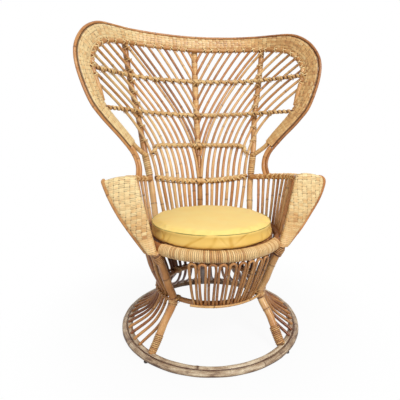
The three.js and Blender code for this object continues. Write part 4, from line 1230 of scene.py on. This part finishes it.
def swell(obj):
    """Blow the cushion up as stuffed cloth, and keep it from moving further than the swell setting."""
    start = coordinates(obj.data)
    cloth = obj.modifiers.new("stuffing", "CLOTH")
    for name, value in CLOTH.items():
        setattr(cloth.settings, name, value)
    cloth.settings.effector_weights.gravity = 0.0
    cloth.point_cache.frame_start, cloth.point_cache.frame_end = 1, SWELL_FRAMES
    scene = bpy.context.scene
    for number in range(1, SWELL_FRAMES + 1):
        scene.frame_set(number)
    shaped = obj.evaluated_get(bpy.context.evaluated_depsgraph_get()).to_mesh()
    moved = coordinates(shaped) - start
    obj.modifiers.remove(cloth)
    scene.frame_set(1)
    reach = np.linalg.norm(moved, axis=1, keepdims=True)
    moved *= np.minimum(1.0, scene.chair_sizes.cushion_swell / np.maximum(reach, 1e-9))
    obj.data.vertices.foreach_set("co", (start + moved).ravel())
    obj.data.update()


def turned(angle, place):
    """Angle from a place round the circle, between minus and plus half a turn."""
    return np.arctan2(np.sin(angle - place), np.cos(angle - place))


class CHAIR_OT_cushion(bpy.types.Operator):
    """Make the stuffed leather cushion with its piped seam"""

    bl_idname = "chair.cushion"
    bl_label = "Cushion"

    def execute(self, context):
        obj = bpy.data.objects.new("leather_cushion", cushion_mesh(cushion_profile(0.5)))
        context.scene.collection.objects.link(obj)
        remesh = obj.modifiers.new("even_mesh", "REMESH")
        remesh.mode = "VOXEL"
        remesh.voxel_size = 0.005
        apply_all(obj)
        swell(obj)
        subdivide = obj.modifiers.new("smooth", "SUBSURF")
        subdivide.levels = 1
        apply_all(obj)
        mesh = obj.data
        points = coordinates(mesh) * 1000
        points[:, 1] -= AXIS_Y * 1000
        angle = np.arctan2(points[:, 0], -points[:, 1])
        depth = self.settle(points, angle)
        placed = points / 1000
        placed[:, 0] += CUSHION_ASIDE / 1000
        placed[:, 1] += AXIS_Y - CUSHION_FORWARD / 1000
        mesh.vertices.foreach_set("co", placed.ravel())
        write_values(mesh, placed, np.stack([0 * depth + 0.5, depth, 0 * depth, 0 * depth + 1], axis=1))
        mesh.shade_smooth()
        mesh.materials.append(finish("cushion_cover"))
        mesh.update()
        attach(obj, "cushion")
        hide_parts("seat_cushion")
        self.piping(points, angle)
        return {"FINISHED"}

    def settle(self, points, angle):
        """Folds the wall, dents the top, bulges over the seat ring and tilts; gives the painted shade of the
        wall and the folds.
        """
        radius = np.hypot(points[:, 0], points[:, 1])
        height = points[:, 2] - CUSHION_BOTTOM
        x, y = points[:, 0], points[:, 1]
        wall = smooth((radius - CUSHION_RADIUS + 26) / 16) * smooth((CUSHION_SEAM - 2 - points[:, 2]) / 9)
        fold = np.zeros(len(points))
        rng = np.random.default_rng(7)
        for _ in range(FOLDS):
            where, tilt = rng.uniform(-np.pi, np.pi), rng.uniform(-2.4, 2.4)
            wide, deep, middle = rng.uniform(3, 7), rng.uniform(0.7, 2.6), rng.uniform(4, 34)
            away = turned(angle, where) * CUSHION_RADIUS - tilt * (height - middle)
            fold -= deep * hump(away, wide) * hump(height, 15, middle)
        top = smooth((points[:, 2] - CUSHION_SEAM + 1) / 6)
        dents = 0.9 * np.sin(x / 41 + 1) * np.sin(y / 53) + 0.5 * np.sin(x / 19 + y / 27)
        points[:, :2] += (points[:, :2] / np.maximum(radius, 1)[:, None]) * (fold * wall)[:, None]
        points[:, 2] += top * dents
        points[:, 2] = np.maximum(points[:, 2], CUSHION_BOTTOM)
        front = smooth((np.cos(angle) + 0.3) / 1.1)
        rim = smooth((radius - CUSHION_RADIUS + 40) / 24)
        bulge = CUSHION_BULGE * front * hump(height, 13, 10) * rim
        points[:, :2] += (points[:, :2] / np.maximum(radius, 1)[:, None]) * bulge[:, None]
        tilt = lerp(*CUSHION_TILT, 0.5 - points[:, 1] / CUSHION_RADIUS / 2)
        points[:, 2] += smooth((height - 6) / 34) * tilt
        # Painted shade in the folds and over the whole wall
        return np.clip(np.clip(-fold * wall * 0.22, 0, 1) + 0.66 * wall, 0, 1)

    def piping(self, points, angle):
        """The piped seam, along the evened outer edge of the cushion's top."""
        turns = np.linspace(-np.pi, np.pi, 240, endpoint=False)
        reach = np.hypot(points[:, 0], points[:, 1])
        level = np.abs(points[:, 2] - CUSHION_SEAM) < 12
        seam = []
        for turn in turns:
            near = level & (np.abs(turned(angle, turn)) < 0.03)
            best = np.argmax(np.where(near, reach + points[:, 2], -1e9))
            seam.append((reach[best], points[best, 2]))
        seam = np.array(seam[-SEAM_EVEN:] + seam + seam[:SEAM_EVEN])
        span = 2 * SEAM_EVEN + 1
        out, height = (np.convolve(seam[:, k], np.ones(span) / span, "valid") for k in (0, 1))
        line = np.stack([out * np.sin(turns), -out * np.cos(turns), height], axis=1)
        across = outward(line)
        line[:, 0] += CUSHION_ASIDE
        line[:, 1] -= CUSHION_FORWARD
        making = Making(150)
        sweep(making, line, across, sizes("piping"), sizes("piping"), tone=0.5, closed=True)
        making.piece("cushion_piping", "cushion_cover", body="cushion", material=piping_finish())


def crossings(rail, canes, reach=17.0):
    """Where canes pass a rail: place on the rail, the cane and the place on it, in order along the rail."""
    found = []
    for path in canes:
        apart = np.linalg.norm(rail[:, None] - path[None], axis=2)
        i, j = np.unravel_index(np.argmin(apart), apart.shape)
        if apart[i, j] < reach:
            found.append((int(i), path, min(max(int(j), 1), len(path) - 2)))
    return sorted(found, key=lambda item: item[0])


def tie_crossings(ties, rail, canes, tone, reach, depth, turns=1, limit=17.0, round_rail=False):
    """Crossed strips where each cane passes the rail, or round the rail where the two run nearly alongside."""
    ahead, _ = frames_along(rail)
    for i, path, j in crossings(rail, canes, limit):
        out = unit(rail[i] - path[j])
        first, second = ahead[i], path[j + 1] - path[j - 1]
        if round_rail:
            across = np.cross(out, ahead[i])
            first, second = unit(across + 0.4 * ahead[i]), unit(across - 0.4 * ahead[i])
        lash(ties, lerp(rail[i], path[j], 0.42), first, second, out, reach, depth, tone, turns, round_rail)


def pads(making, line, canes, radius, front):
    """A rail wound with a broad strip, so that a pad of it bulges between each two canes behind it."""
    run = run_along(line)
    marks = [run[0] - PAD_END]
    for i, _, _ in crossings(line, canes):
        if run[i] - marks[-1] > PAD_LEAST:
            marks.append(run[i])
    marks.append(run[-1] + PAD_END)
    spans = [np.linspace(a, b, 1 if b - a < PAD_MOST else round((b - a) / PAD_PITCH), endpoint=False)
             for a, b in zip(marks, marks[1:])]
    marks = np.concatenate(spans + [marks[-1:]])
    spots = np.linspace(run[0] + 1, run[-1] - 1, int(run[-1] / 1.7))
    turn = 2 * np.pi * np.interp(spots, marks, np.arange(len(marks))) + np.pi
    ahead, _ = frames_along(line)
    middle, forward = sample(spots, run, line), unit(sample(spots, run, ahead))
    over = across_to(sample(spots, run, front), forward)
    out = over * np.cos(turn)[:, None] + np.cross(forward, over) * np.sin(turn)[:, None]
    pitch = np.interp(spots, (marks[1:] + marks[:-1]) / 2, np.diff(marks))
    number = np.floor((turn - np.pi) / (2 * np.pi)).astype(int)
    tones = making.rng.uniform(0.32, 0.74, number.max() + 2)
    width = np.clip(pitch * 0.31, 3, 8.0)
    sweep(making, middle + out * (radius - 0.9), out, width, thick=2.6, tone=tones[number])


def arm_y(z):
    return ARM_FOOT_Y + ARM_LEAN * (z - ARM_FOOT_HEIGHT)


def arm_edges(t, side):
    """Distances of an arm front's inner and outer edge from the middle of the chair, by share of its height."""
    front = ARM_FRONTS[side]
    leg_top = LEG_ANGLES["front_right"][2]
    foot_inner = polar(leg_top, beside_seat(sizes("leg_cane")) - 8, 0.0)[0] - ARM_FOOT_WIDTH / 2
    top_inner = polar(ARM_FRONT_ANGLE, ARM_RADIUS, 0.0, ARM_CENTRE_Y)[0] - ARM_CANE - 2
    inner = lerp(foot_inner + 9, top_inner, t) - front["foot_inset"] * (1 - smooth(t / 0.34))
    fuller = np.interp(t, ARM_FULLER_SPOTS, front["fuller"])
    near = np.clip((t - 1 + front["corner_share"]) / front["corner_share"], 0, 1)
    rounded = front["corner"] * (1 - np.sqrt(1 - near ** 2))
    bulge = 15.0 * np.sin(np.pi * t ** 1.25)
    return inner, inner + lerp(21.0, ARM_FLARE, t) + bulge + fuller - rounded


def arm_panel(making, side):
    """A woven sleeve that flares from the leg's top to the front of the arm."""
    front = ARM_FRONTS[side]
    t = np.r_[np.linspace(0.085, 0.9, 140), np.linspace(0.9, 1, 36)[1:]][:, None]
    share, thick, sin = round_sleeve(170, 0.85, 0.62)
    inner, outer = arm_edges(t, side)
    half = lerp(30.0, ARM_PANEL_THICKNESS, smooth(t * 2.5)) / 2
    over_leg = 9.0 * (1 - smooth(t / 0.3))
    end = np.sqrt(np.clip(1 - ((t - 0.965) / 0.035).clip(0, 1) ** 2, 0.02, 1))
    height = lerp(ARM_FOOT_HEIGHT, ARM_TOP_HEIGHT, t) - front["drop"] * share * t
    height = height + front["crown"] * np.sin(np.pi * share) * smooth((t - 0.7) / 0.3)
    x = lerp(inner, outer, share)
    y = arm_y(height) - over_leg - thick * half * end * 1.05
    grid = np.stack(np.broadcast_arrays(side * x, y, height), axis=-1)
    normal = (side * (2 * share - 1) * 0.8, -signed_power(sin, 0.4), 0 * height)
    normal = unit(np.stack(np.broadcast_arrays(*normal), axis=-1))
    u = x + np.where(sin < 0, 400, 0)
    v = lerp(0, ARM_TOP_HEIGHT - ARM_FOOT_HEIGHT, t) + 0.07 * x
    stake_tone = lerp(0.36, 0.64, smooth(t * 1.4))
    woven = basket(u, v, stake=16.0, row=11.0, seed=front["pattern"], stake_tone=stake_tone, split=0.8)
    low = 1 - smooth((t - front["wound"]) / 0.04) + 0 * share
    raised, tone, gap = merged(woven, strips(v + 0.10 * u, width=6.2, seed=9), low)
    tone = tone + 0.34 * smooth(t) - front["darker"]
    woven_skin(making, grid, normal, raised * sizes("weave_relief"), tone, gap, u, v)


class CHAIR_OT_arms(bpy.types.Operator):
    """Make the arm rails with their spindles, the woven arm fronts and the canes along their edges"""

    bl_idname = "chair.arms"
    bl_label = "Arms"

    def execute(self, context):
        for name, side in SIDES.items():
            self.rail(name, side)
            weave = Making(168 + side)
            arm_panel(weave, side)
            weave.piece(f"arm_weave_{name}", "pale_peel", f"arm_panel_{name}")
            self.edge_cane(name, side)
        return {"FINISHED"}

    def rail(self, name, side):
        making, ties = Making(160 + side), Making(164 + side)
        t = np.linspace(0, 1, 9)
        height = lerp(ARM_REAR_HEIGHT, ARM_FRONT_HEIGHT, t) - 5 * t ** 6
        angle = side * lerp(ARM_REAR_ANGLE, ARM_FRONT_ANGLE - 4, t)
        rail = bend(polar(angle, ARM_RADIUS, height, ARM_CENTRE_Y), 3.0)
        cane(making, rail, ARM_CANE, tone=0.50, nodes=140, sides=12)
        ahead, _ = frames_along(rail)
        radius = sizes("spindle_cane")
        for i in range(ARM_SPINDLES):
            share = (i + 1) / (ARM_SPINDLES + 1)
            spot = int(lerp(0.02, 0.9, share) * (len(rail) - 1))
            foot = polar(side * lerp(125, 62, share), SEAT_RADIUS + radius, SEAT_HEIGHT + SPINDLE_FOOT)
            middle = (rail[spot] + foot) / 2 + making.rng.uniform(-1.5, 1.5, 3)
            tone = making.rng.choice(ARM_SPINDLE_TONES)
            cane(making, bend([foot, middle, rail[spot]], 5.0), radius, tone, nodes=190, sides=8)
            out = unit(-(rail[spot] * LEVEL) + np.array((0, ARM_CENTRE_Y, 0)))
            lash(ties, rail[spot], ahead[spot], rail[spot] - foot, out, reach=14.2, depth=13.2)
        making.piece(f"arm_rail_canes_{name}", "honey_cane", f"arm_rail_{name}")
        ties.piece(f"arm_ties_{name}", "pale_peel")

    def edge_cane(self, name, side):
        """The cane along the outer edge of an arm front; the right one turns in over the corner."""
        making = Making(172 + side)
        front = ARM_FRONTS[side]
        t = np.r_[np.linspace(0.09, 0.9, 9), 0.92, 0.935, 0.95, 0.965, 0.98, 0.99, 0.996, 1.0]
        corner = front["corner_share"]
        turn = np.arcsin(np.clip((t - 1 + corner) / corner, 0, 1)) * (side > 0)
        height = lerp(ARM_FOOT_HEIGHT, ARM_TOP_HEIGHT, t) - front["drop"] * t - 2.5 * np.sin(turn)
        x = arm_edges(t, side)[1] + 5.0 * np.cos(turn)
        line = bend(np.stack([side * x, arm_y(height), height], axis=1), 3.0)
        slim = 1 - 0.5 * (side > 0) * smooth((np.linspace(0, 1, len(line)) - 0.92) / 0.08)
        cane(making, line, ARM_EDGE_CANE * slim, tone=0.58, nodes=120, sides=10)
        making.piece(f"arm_edge_cane_{name}", "amber_cane", f"arm_edge_{name}")


def behind(radius):
    return -(radius + sizes("spindle_cane") + FIT)


def spindle(making, path):
    tone = making.rng.choice(SPINDLE_TONES) + making.rng.uniform(-0.05, 0.05)
    upper = smooth((path[:, 2] - SEAT_HEIGHT - 120) / 240)
    cane(making, path, sizes("spindle_cane") * lerp(*SPINDLE_TAPER, upper), tone, nodes=240, sides=8)


def spray_path(side, z):
    track = thin(climb(sizes("centre_cane") * 0.5, z), 7)
    lift = np.r_[-7.0, np.zeros(len(track) - 1)]
    return bend(on_back(side * track[:, 0], track[:, 1], lift), 4.0)


def fan_path(side, number):
    x = FAN_FIRST + FAN_PITCH * number
    foot = SEAT_HEIGHT + SPINDLE_FOOT
    lower = np.array([(x * FAN_FOOT_SHARE, foot), (x * (1 + FAN_FOOT_SHARE) / 2, (foot + BACK_RAIL) / 2)])
    track = np.vstack([lower, thin(climb(x, BACK_RAIL), 10)])
    return bend(on_back(side * track[:, 0], track[:, 1]), 4.0)


def back_spindles():
    fans = [fan_path(side, i) for side in SIDES.values() for i in range(FAN_COUNT)]
    return fans + [spray_path(side, float(z)) for side in SIDES.values() for z in CENTRE_SPRAYS]


def post_line(side):
    z = np.linspace(SEAT_HEIGHT + 8, POST_TOP, 12)
    return bend(on_back(side * post_spread(z), z, behind(sizes("post_cane"))), FINE_STEP)


def centre_line():
    """Middle line of the centre post, from the floor ring past waist and seat to the top of the back."""
    radius = sizes("centre_cane")
    waist, seat = beside_waist(radius), beside_seat(radius)
    points = [
        polar(180 + BASE_TURN, FOOT_RADIUS, FOOT_HEIGHT),
        polar(180 + BASE_TURN / 2, lerp(BASE_RADIUS, waist, 0.5), lerp(BASE_HEIGHT, WAIST_HEIGHT, 0.5)),
        polar(180, waist, WAIST_HEIGHT),
        polar(180, lerp(waist, seat, 0.4), lerp(WAIST_HEIGHT, SEAT_HEIGHT, 0.41)),
        polar(180, seat, SEAT_HEIGHT),
    ]
    z = np.linspace(SEAT_HEIGHT + 72, POST_TOP, 8)
    return bend(np.vstack([points, on_back(0 * z, z, behind(radius))]), FINE_STEP)


def run_at_height(line, z):
    return FINE_STEP * int(np.argmax(line[:, 2] > z))


class CHAIR_OT_posts(bpy.types.Operator):
    """Make the posts of the back with the canes that spring from them and their windings"""

    bl_idname = "chair.posts"
    bl_label = "Back posts"

    def execute(self, context):
        spindles = back_spindles()
        for name, side in SIDES.items():
            self.side_post(name, side, spindles)
        self.centre_post()
        return {"FINISHED"}

    def side_post(self, name, side, spindles):
        radius = sizes("post_cane")
        line = post_line(side)
        making = Making(180 + side)
        # Above the back rail the posts are painted darker, the left one most, as painted shade behind the
        # spindles
        tone = lerp(0.78, 0.42 if side < 0 else 0.58, smooth((line[:, 2] - BACK_RAIL) / 40))
        cane(making, line, radius, tone, nodes=150, sides=14, first=70)
        making.piece(f"post_cane_{name}", "honey_cane", f"post_{name}")
        ties = Making(184 + side)
        start = run_at_height(line, SEAT_HEIGHT + 178)
        tones = ties.rng.uniform(0.4, 0.75, 20)
        wrap(ties, line, start, 92, radius + 1.2, turns=11, width=7.4, thick=2.8, tones=tones)
        ties.piece(f"post_winding_peel_{name}", "pale_peel", f"post_winding_{name}")
        knots = Making(188 + side)
        high = line[line[:, 2] > SEAT_HEIGHT + 250]
        tie_crossings(knots, high, spindles, tone=0.72, reach=14.6, depth=19.5, limit=24, round_rail=True)
        knots.piece(f"post_ties_{name}", "pale_peel")

    def centre_post(self):
        radius = sizes("centre_cane")
        line = centre_line()
        making = Making(190)
        # Below the seat the centre post is painted dark, as painted shade
        shaded = 0.95 * smooth((SEAT_HEIGHT - 10 - line[:, 2]) / 40)
        cane(making, line, radius, tone=0.46, nodes=165, sides=14, dark=shaded)
        for side in SIDES.values():
            for height in CENTRE_SPRAYS:
                spindle(making, spray_path(side, float(height)))
        making.piece("centre_post_cane", "amber_cane", "centre_post")
        peel = Making(191)
        start = run_at_height(line, LOWER_RAIL + 10)
        length = len(line) * FINE_STEP - start - 6
        turns = int(length / 9.5)
        tones = peel.rng.uniform(0.5, 0.9, turns + 2)
        wind(peel, line, start, length, radius + 0.9, turns, width=10.0, thick=2.6, tones=tones)
        for height in (BACK_RAIL, LOWER_RAIL, MIDDLE_RAIL, UPPER_RAIL):
            middle = on_back(0.0, height, -4.0)
            lash(peel, middle, ACROSS, UP, back_front(0.0, height), reach=19, depth=18, tone=0.75, turns=3)
        peel.piece("centre_post_peel", "pale_peel")


def rail_points(half, height, rise, lift, start=-1.0, count=17, ends=0.0):
    """Points of a rail across the back that rises to its ends, where it may sink into the back."""
    s = np.linspace(start, 1, count)
    return on_back(s * half, height + rise * s * s, lift * (1 - ends * np.abs(s) ** 10))


def rail_reach(height):
    """How far from the middle a rail runs into the band."""
    x = float(post_spread(height))
    while room_to_band(x, height) > -RAIL_BITE:
        x += 1
    return x


class CHAIR_OT_fans(bpy.types.Operator):
    """Make the fanned spindles and the rails that tie them"""

    bl_idname = "chair.fans"
    bl_label = "Back spindles and rails"

    def rail(self, making, ties, line, spindles, turns=1):
        radius = sizes("rail_cane") * (0.85 + 0.15 * turns)
        # A core painted dark under the pads, as painted shade between them
        cane(making, line, radius - 1.4, tone=0.24, dark=0.8)
        pads(ties, line, spindles, radius, back_front(line[:, 0], line[:, 2]))
        reach, depth = 11.4 + 2.0 * turns, 14.0 + 0.9 * turns
        tie_crossings(ties, line, spindles, tone=0.80, reach=reach, depth=depth, turns=turns)

    def execute(self, context):
        lift = sizes("spindle_cane") + FIT + sizes("rail_cane")
        spindles = back_spindles()
        for number, (name, side) in enumerate(SIDES.items()):
            making, ties = Making(200 + side), Making(204 + side)
            paths = spindles[number * FAN_COUNT:(number + 1) * FAN_COUNT]
            for path in paths:
                spindle(making, path)
            half = float(post_spread(BACK_RAIL))
            line = bend(rail_points(side * half, BACK_RAIL, BACK_RAIL_END_RISE, lift - 2, 0.002), 3.0)
            self.rail(making, ties, line, paths, turns=2)
            making.piece(f"spindle_fan_{name}", "honey_cane", f"fan_{name}")
            ties.piece(f"back_rail_ties_{name}", "pale_peel")
        rails = {}
        for name, height in (("rail_upper", UPPER_RAIL), ("rail_middle", MIDDLE_RAIL)):
            reach = rail_reach(height + RAIL_END_RISE)
            rails[name] = rail_points(reach, height, RAIL_END_RISE, lift, ends=0.6)
        half = float(post_spread(LOWER_RAIL)) - sizes("post_cane") - sizes("rail_cane")
        aside, drop = np.array([0.94, 1.0]), LOWER_RAIL_HOOK * np.array([0.2, 1.0])
        left, right = (on_back(side * aside * half, LOWER_RAIL - drop, lift) for side in SIDES.values())
        straight = rail_points(half * 0.84, LOWER_RAIL, 0, lift, count=9)
        rails["rail_lower"] = np.vstack([left[::-1], straight, right])
        for number, (name, points) in enumerate(rails.items()):
            making, ties = Making(210 + number), Making(214 + number)
            self.rail(making, ties, bend(points, 3.0), spindles)
            making.piece(name + "_cane", "honey_cane", name)
            ties.piece(name + "_ties", "pale_peel")
        return {"FINISHED"}


class CHAIR_OT_edge(bpy.types.Operator):
    """Make the canes round the edge of the back and the woven band between them"""

    bl_idname = "chair.edge"
    bl_label = "Edge of the back"

    def execute(self, context):
        places = np.linspace(0, 1, 640)
        making = Making(220)
        tone = 0.60 - 0.22 * smooth((places - 0.45) / 0.2)
        cane(making, on_rim(places, 0.0), sizes("rim_cane"), tone, nodes=210, sides=10)
        making.piece("edge_cane_rim", "amber_cane", "rim_cane")
        making = Making(221)
        below = smooth((BAND_START - np.minimum(places, 1 - places)) / 0.006)
        path = on_rim(places, lerp(BAND_OUTER + 12.2, BAND_OUTER + 9.4, below))
        radius = lerp(sizes("frame_cane") - 0.6, 9.2, below)
        cane(making, path, radius, tone=0.60, nodes=190, sides=12)
        making.piece("edge_cane_frame", "honey_cane", "frame_cane")
        self.inner_cane()
        self.band()
        self.roll()
        return {"FINISHED"}

    def inner_cane(self):
        """The wound canes that run from the band's lower ends to the posts."""
        making, peel = Making(222), Making(226)
        foot = BAND_END - 34
        for side, end in ((-1, 0.0), (1, 1.0)):
            spots = np.array([lerp(end, 0.5, share) for share in (0.03, 0.012, -0.012)])
            start = on_rim(band_place(spots), BAND_OUTER + band_width(spots) - 12.2)
            last = on_back(side * (float(post_spread(foot)) + 5), foot, -7.0)
            line = bend(np.vstack([start, last[None]]), FINE_STEP)
            cane(making, line, INNER_CANE, tone=0.6, sides=12)
            length = len(line) * FINE_STEP - 3
            turns = int(length / 4.4)
            tones = peel.rng.uniform(0.4, 0.7, turns + 2)
            wind(peel, line, 0, length, INNER_CANE + 0.3, turns, width=4.6, thick=1.8, tones=tones, steps=16)
        making.piece("edge_cane_inner", "honey_cane", "inner_cane")
        peel.piece("edge_cane_inner_peel", "pale_peel")

    def band(self):
        """The woven sleeve along the rim, wound with strips at its lower ends."""
        making = Making(223)
        length = RIM_LENGTH * (1 - 2 * BAND_START)
        t = np.linspace(0, 1, int(length / 1.7))[:, None]
        share, high, sin = round_sleeve(96, 0.7, 0.55)
        width = band_width(t)
        inset = BAND_OUTER + width * share
        half = BAND_THICKNESS / 2 - 0.8
        place = band_place(t) + 0 * share
        grid = on_rim(place, inset + 0 * place, half * high + 0 * place)
        outer = on_rim(place, inset + (share - 0.5) * 1.2, half * high + high * 0.6)
        u = t * length + 0 * share
        v = width * share + np.where(sin < 0, 300, 0)
        woven = basket(u, v, sizes("weave_stake"), sizes("weave_row"), seed=2, stake_tone=0.50, split=0.4)
        low = smooth((np.abs(2 * t - 1) - 0.86) / 0.03) + 0 * share
        raised, tone, gap = merged(woven, strips(u + 0.12 * v, width=5.4, seed=6), low)
        x = grid[..., 0]
        tone = tone + 0.07 + 0.26 * smooth((-x - 180) / 160) - 0.14 * smooth((x + 40) / 300)
        # A painted shadow line along the band's outer edge, beside the rim cane
        gap = np.maximum(gap, 0.9 * smooth((0.075 - share) / 0.04))
        woven_skin(making, grid, unit(outer - grid), raised * sizes("weave_relief"), tone, gap, u, v)
        making.piece("woven_band", "pale_peel", "back_band")

    def roll(self):
        """The rolled inner edge of the band, drawn in where the spindles end."""
        making, ties = Making(224), Making(225)
        t = np.linspace(0.10, 0.90, 900)
        path = on_rim(band_place(t), BAND_OUTER + band_width(t) + 3.5, 6.0)
        run = run_along(path)
        ahead, across = frames_along(path)
        pinch, number = np.zeros(len(path)), np.zeros(len(path))
        for spindle_path in back_spindles():
            spot = int(np.argmin(np.linalg.norm(path - spindle_path[-1], axis=1)))
            pinch = np.maximum(pinch, hump(run, 3.4, run[spot]))
            number += run > run[spot]
            out = back_front(path[spot, 0], path[spot, 2])
            second = spindle_path[-1] - spindle_path[-4]
            lash(ties, path[spot], ahead[spot], second, out, reach=13.2, depth=11.4, tone=0.92, turns=1)
        ends = smooth((0.5 - np.abs(t - 0.5) - 0.10) / 0.04)
        radius = ROLL_RADIUS * (1 - 0.36 * pinch) * lerp(0.35, 1.0, ends)
        tone = 0.50 + 0.3 * (hashed(number, 0 * number, 2) - 0.5)
        # Painted shade where the roll is drawn in at the spindle ends
        sweep(making, path, across, radius, radius, tone, dark=0.9 * pinch, sides=12)
        making.piece("band_roll", "honey_cane")
        ties.piece("band_ties", "pale_peel")


# Stage

CAMERA_PLACE = (-0.253, -1.258, 0.772)
CAMERA_YAW = 12.01
CAMERA_PITCH = -11.28
CAMERA_ROLL = 0.96
CAMERA_LENS = 32.39
CAMERA_SHIFT = (-0.04125, -0.02325)
CAMERA_SENSOR = 36.0
CAMERA_CLIP = (0.05, 60.0)
# Name, place, size and power of each lamp, and the place they shine on
LAMPS = (
    ("key", (1.0, -2.3, 2.8), 1.2, 93),
    ("fill", (-2.0, -2.2, 1.5), 1.8, 25),
    ("back", (0.6, 3.0, 2.2), 2.2, 28),
)
LIT_PLACE = (0, 0, 0.55)
SOFT_LIGHT = 0.23
FLOOR_FADE = {"From Min": 0.25, "From Max": 0.80, "To Min": 0.94, "To Max": 1.0}


class CHAIR_OT_stage(bpy.types.Operator):
    """Set the floor, the soft light and the camera"""

    bl_idname = "chair.stage"
    bl_label = "Stage"

    def execute(self, context):
        scene = context.scene
        scene.view_settings.view_transform = "Standard"
        self.floor(scene)
        self.light(scene)
        self.camera(scene)
        return {"FINISHED"}

    def seen(self, tree):
        """One for rays that show a surface in the picture, directly or by a reflection."""
        rays = add_node(tree, "ShaderNodeLightPath").outputs
        total = maths(tree, "MAXIMUM", rays["Is Camera Ray"], rays["Is Glossy Ray"])
        return maths(tree, "MAXIMUM", total, rays["Is Transmission Ray"])

    def whiten(self, tree, out, lit, white, share):
        """Shows white for a share of what is seen, and what is lit for the rest."""
        mix = add_node(tree, "ShaderNodeMixShader", {0: share, 1: lit.outputs[0], 2: white.outputs[0]})
        give(tree, out, {0: mix.outputs[0]})

    def floor(self, scene):
        mesh = bpy.data.meshes.new("floor")
        mesh.from_pydata([(-9, -9, 0), (9, -9, 0), (9, 9, 0), (-9, 9, 0)], [], [(0, 1, 2, 3)])
        material = bpy.data.materials.new("stage_floor")
        material.use_nodes = True
        tree = material.node_tree
        tree.nodes.clear()
        out = add_node(tree, "ShaderNodeOutputMaterial")
        matt = add_node(tree, "ShaderNodeBsdfDiffuse", {0: colour("floor")})
        white = add_node(tree, "ShaderNodeEmission", {0: WHITE})
        place = add_node(tree, "ShaderNodeNewGeometry").outputs["Position"]
        away = add_node(tree, "ShaderNodeVectorMath", {0: place}, operation="LENGTH").outputs["Value"]
        fade = add_node(tree, "ShaderNodeMapRange", {"Value": away} | FLOOR_FADE,
                        interpolation_type="SMOOTHSTEP").outputs[0]
        share = maths(tree, "MULTIPLY", self.seen(tree), fade)
        self.whiten(tree, out, matt, white, share)
        mesh.materials.append(material)
        obj = bpy.data.objects.new("floor", mesh)
        scene.collection.objects.link(obj)

    def light(self, scene):
        world = bpy.data.worlds.new("studio")
        scene.world = world
        world.use_nodes = True
        tree = world.node_tree
        tree.nodes.clear()
        out = add_node(tree, "ShaderNodeOutputWorld")
        soft = add_node(tree, "ShaderNodeBackground", {0: WHITE, 1: SOFT_LIGHT})
        white = add_node(tree, "ShaderNodeBackground", {0: WHITE, 1: 1.0})
        self.whiten(tree, out, soft, white, self.seen(tree))
        for name, place, size, power in LAMPS:
            lamp = bpy.data.lights.new(name, "AREA")
            lamp.size = size
            lamp.energy = power
            obj = bpy.data.objects.new(name, lamp)
            obj.location = place
            obj.rotation_euler = (Vector(LIT_PLACE) - Vector(place)).to_track_quat("-Z", "Y").to_euler()
            scene.collection.objects.link(obj)

    def camera(self, scene):
        yaw, pitch, roll = (math.radians(a) for a in (CAMERA_YAW, CAMERA_PITCH, CAMERA_ROLL))
        ahead = Vector((math.sin(yaw) * math.cos(pitch), math.cos(yaw) * math.cos(pitch), math.sin(pitch)))
        level = Vector((math.cos(yaw), -math.sin(yaw), 0))
        above = level.cross(ahead)
        right = level * math.cos(roll) + above * math.sin(roll)
        up = above * math.cos(roll) - level * math.sin(roll)
        data = bpy.data.cameras.new("photo_camera")
        data.sensor_width = CAMERA_SENSOR
        data.lens = CAMERA_LENS
        data.shift_x, data.shift_y = CAMERA_SHIFT
        data.clip_start, data.clip_end = CAMERA_CLIP
        obj = bpy.data.objects.new("photo_camera", data)
        turn = Matrix((right, up, -ahead)).transposed().to_4x4()
        place = Vector(CAMERA_PLACE) + Vector((0, AXIS_Y, 0))
        obj.matrix_world = Matrix.Translation(place) @ turn
        scene.collection.objects.link(obj)
        scene.camera = obj


OPERATORS = (CHAIR_OT_stage, CHAIR_OT_base, CHAIR_OT_legs, CHAIR_OT_skirts, CHAIR_OT_waist, CHAIR_OT_seat,
             CHAIR_OT_cushion, CHAIR_OT_arms, CHAIR_OT_posts, CHAIR_OT_fans, CHAIR_OT_edge)


class CHAIR_PT_sidebar(bpy.types.Panel):
    """Steps of the chair's making"""

    bl_idname = "CHAIR_PT_sidebar"
    bl_label = "Cane peacock chair"
    bl_space_type = "VIEW_3D"
    bl_region_type = "UI"
    bl_category = "Chair"

    def draw(self, context):
        for operator in OPERATORS:
            self.layout.operator(operator.bl_idname)
        for settings in (context.scene.chair_sizes, context.scene.chair_colours):
            column = self.layout.column()
            for name in settings.__annotations__:
                column.prop(settings, name)


CLASSES = (ChairSizes, ChairColours) + OPERATORS + (CHAIR_PT_sidebar,)


def register():
    for cls in CLASSES:
        bpy.utils.register_class(cls)
    bpy.types.Scene.chair_sizes = PointerProperty(type=ChairSizes)
    bpy.types.Scene.chair_colours = PointerProperty(type=ChairColours)


def unregister():
    del bpy.types.Scene.chair_sizes
    del bpy.types.Scene.chair_colours
    for cls in reversed(CLASSES):
        bpy.utils.unregister_class(cls)


def main():
    register()
    for operator in OPERATORS:
        family, name = operator.bl_idname.split(".")
        getattr(getattr(bpy.ops, family), name)()


if __name__ == "__main__":
    main()
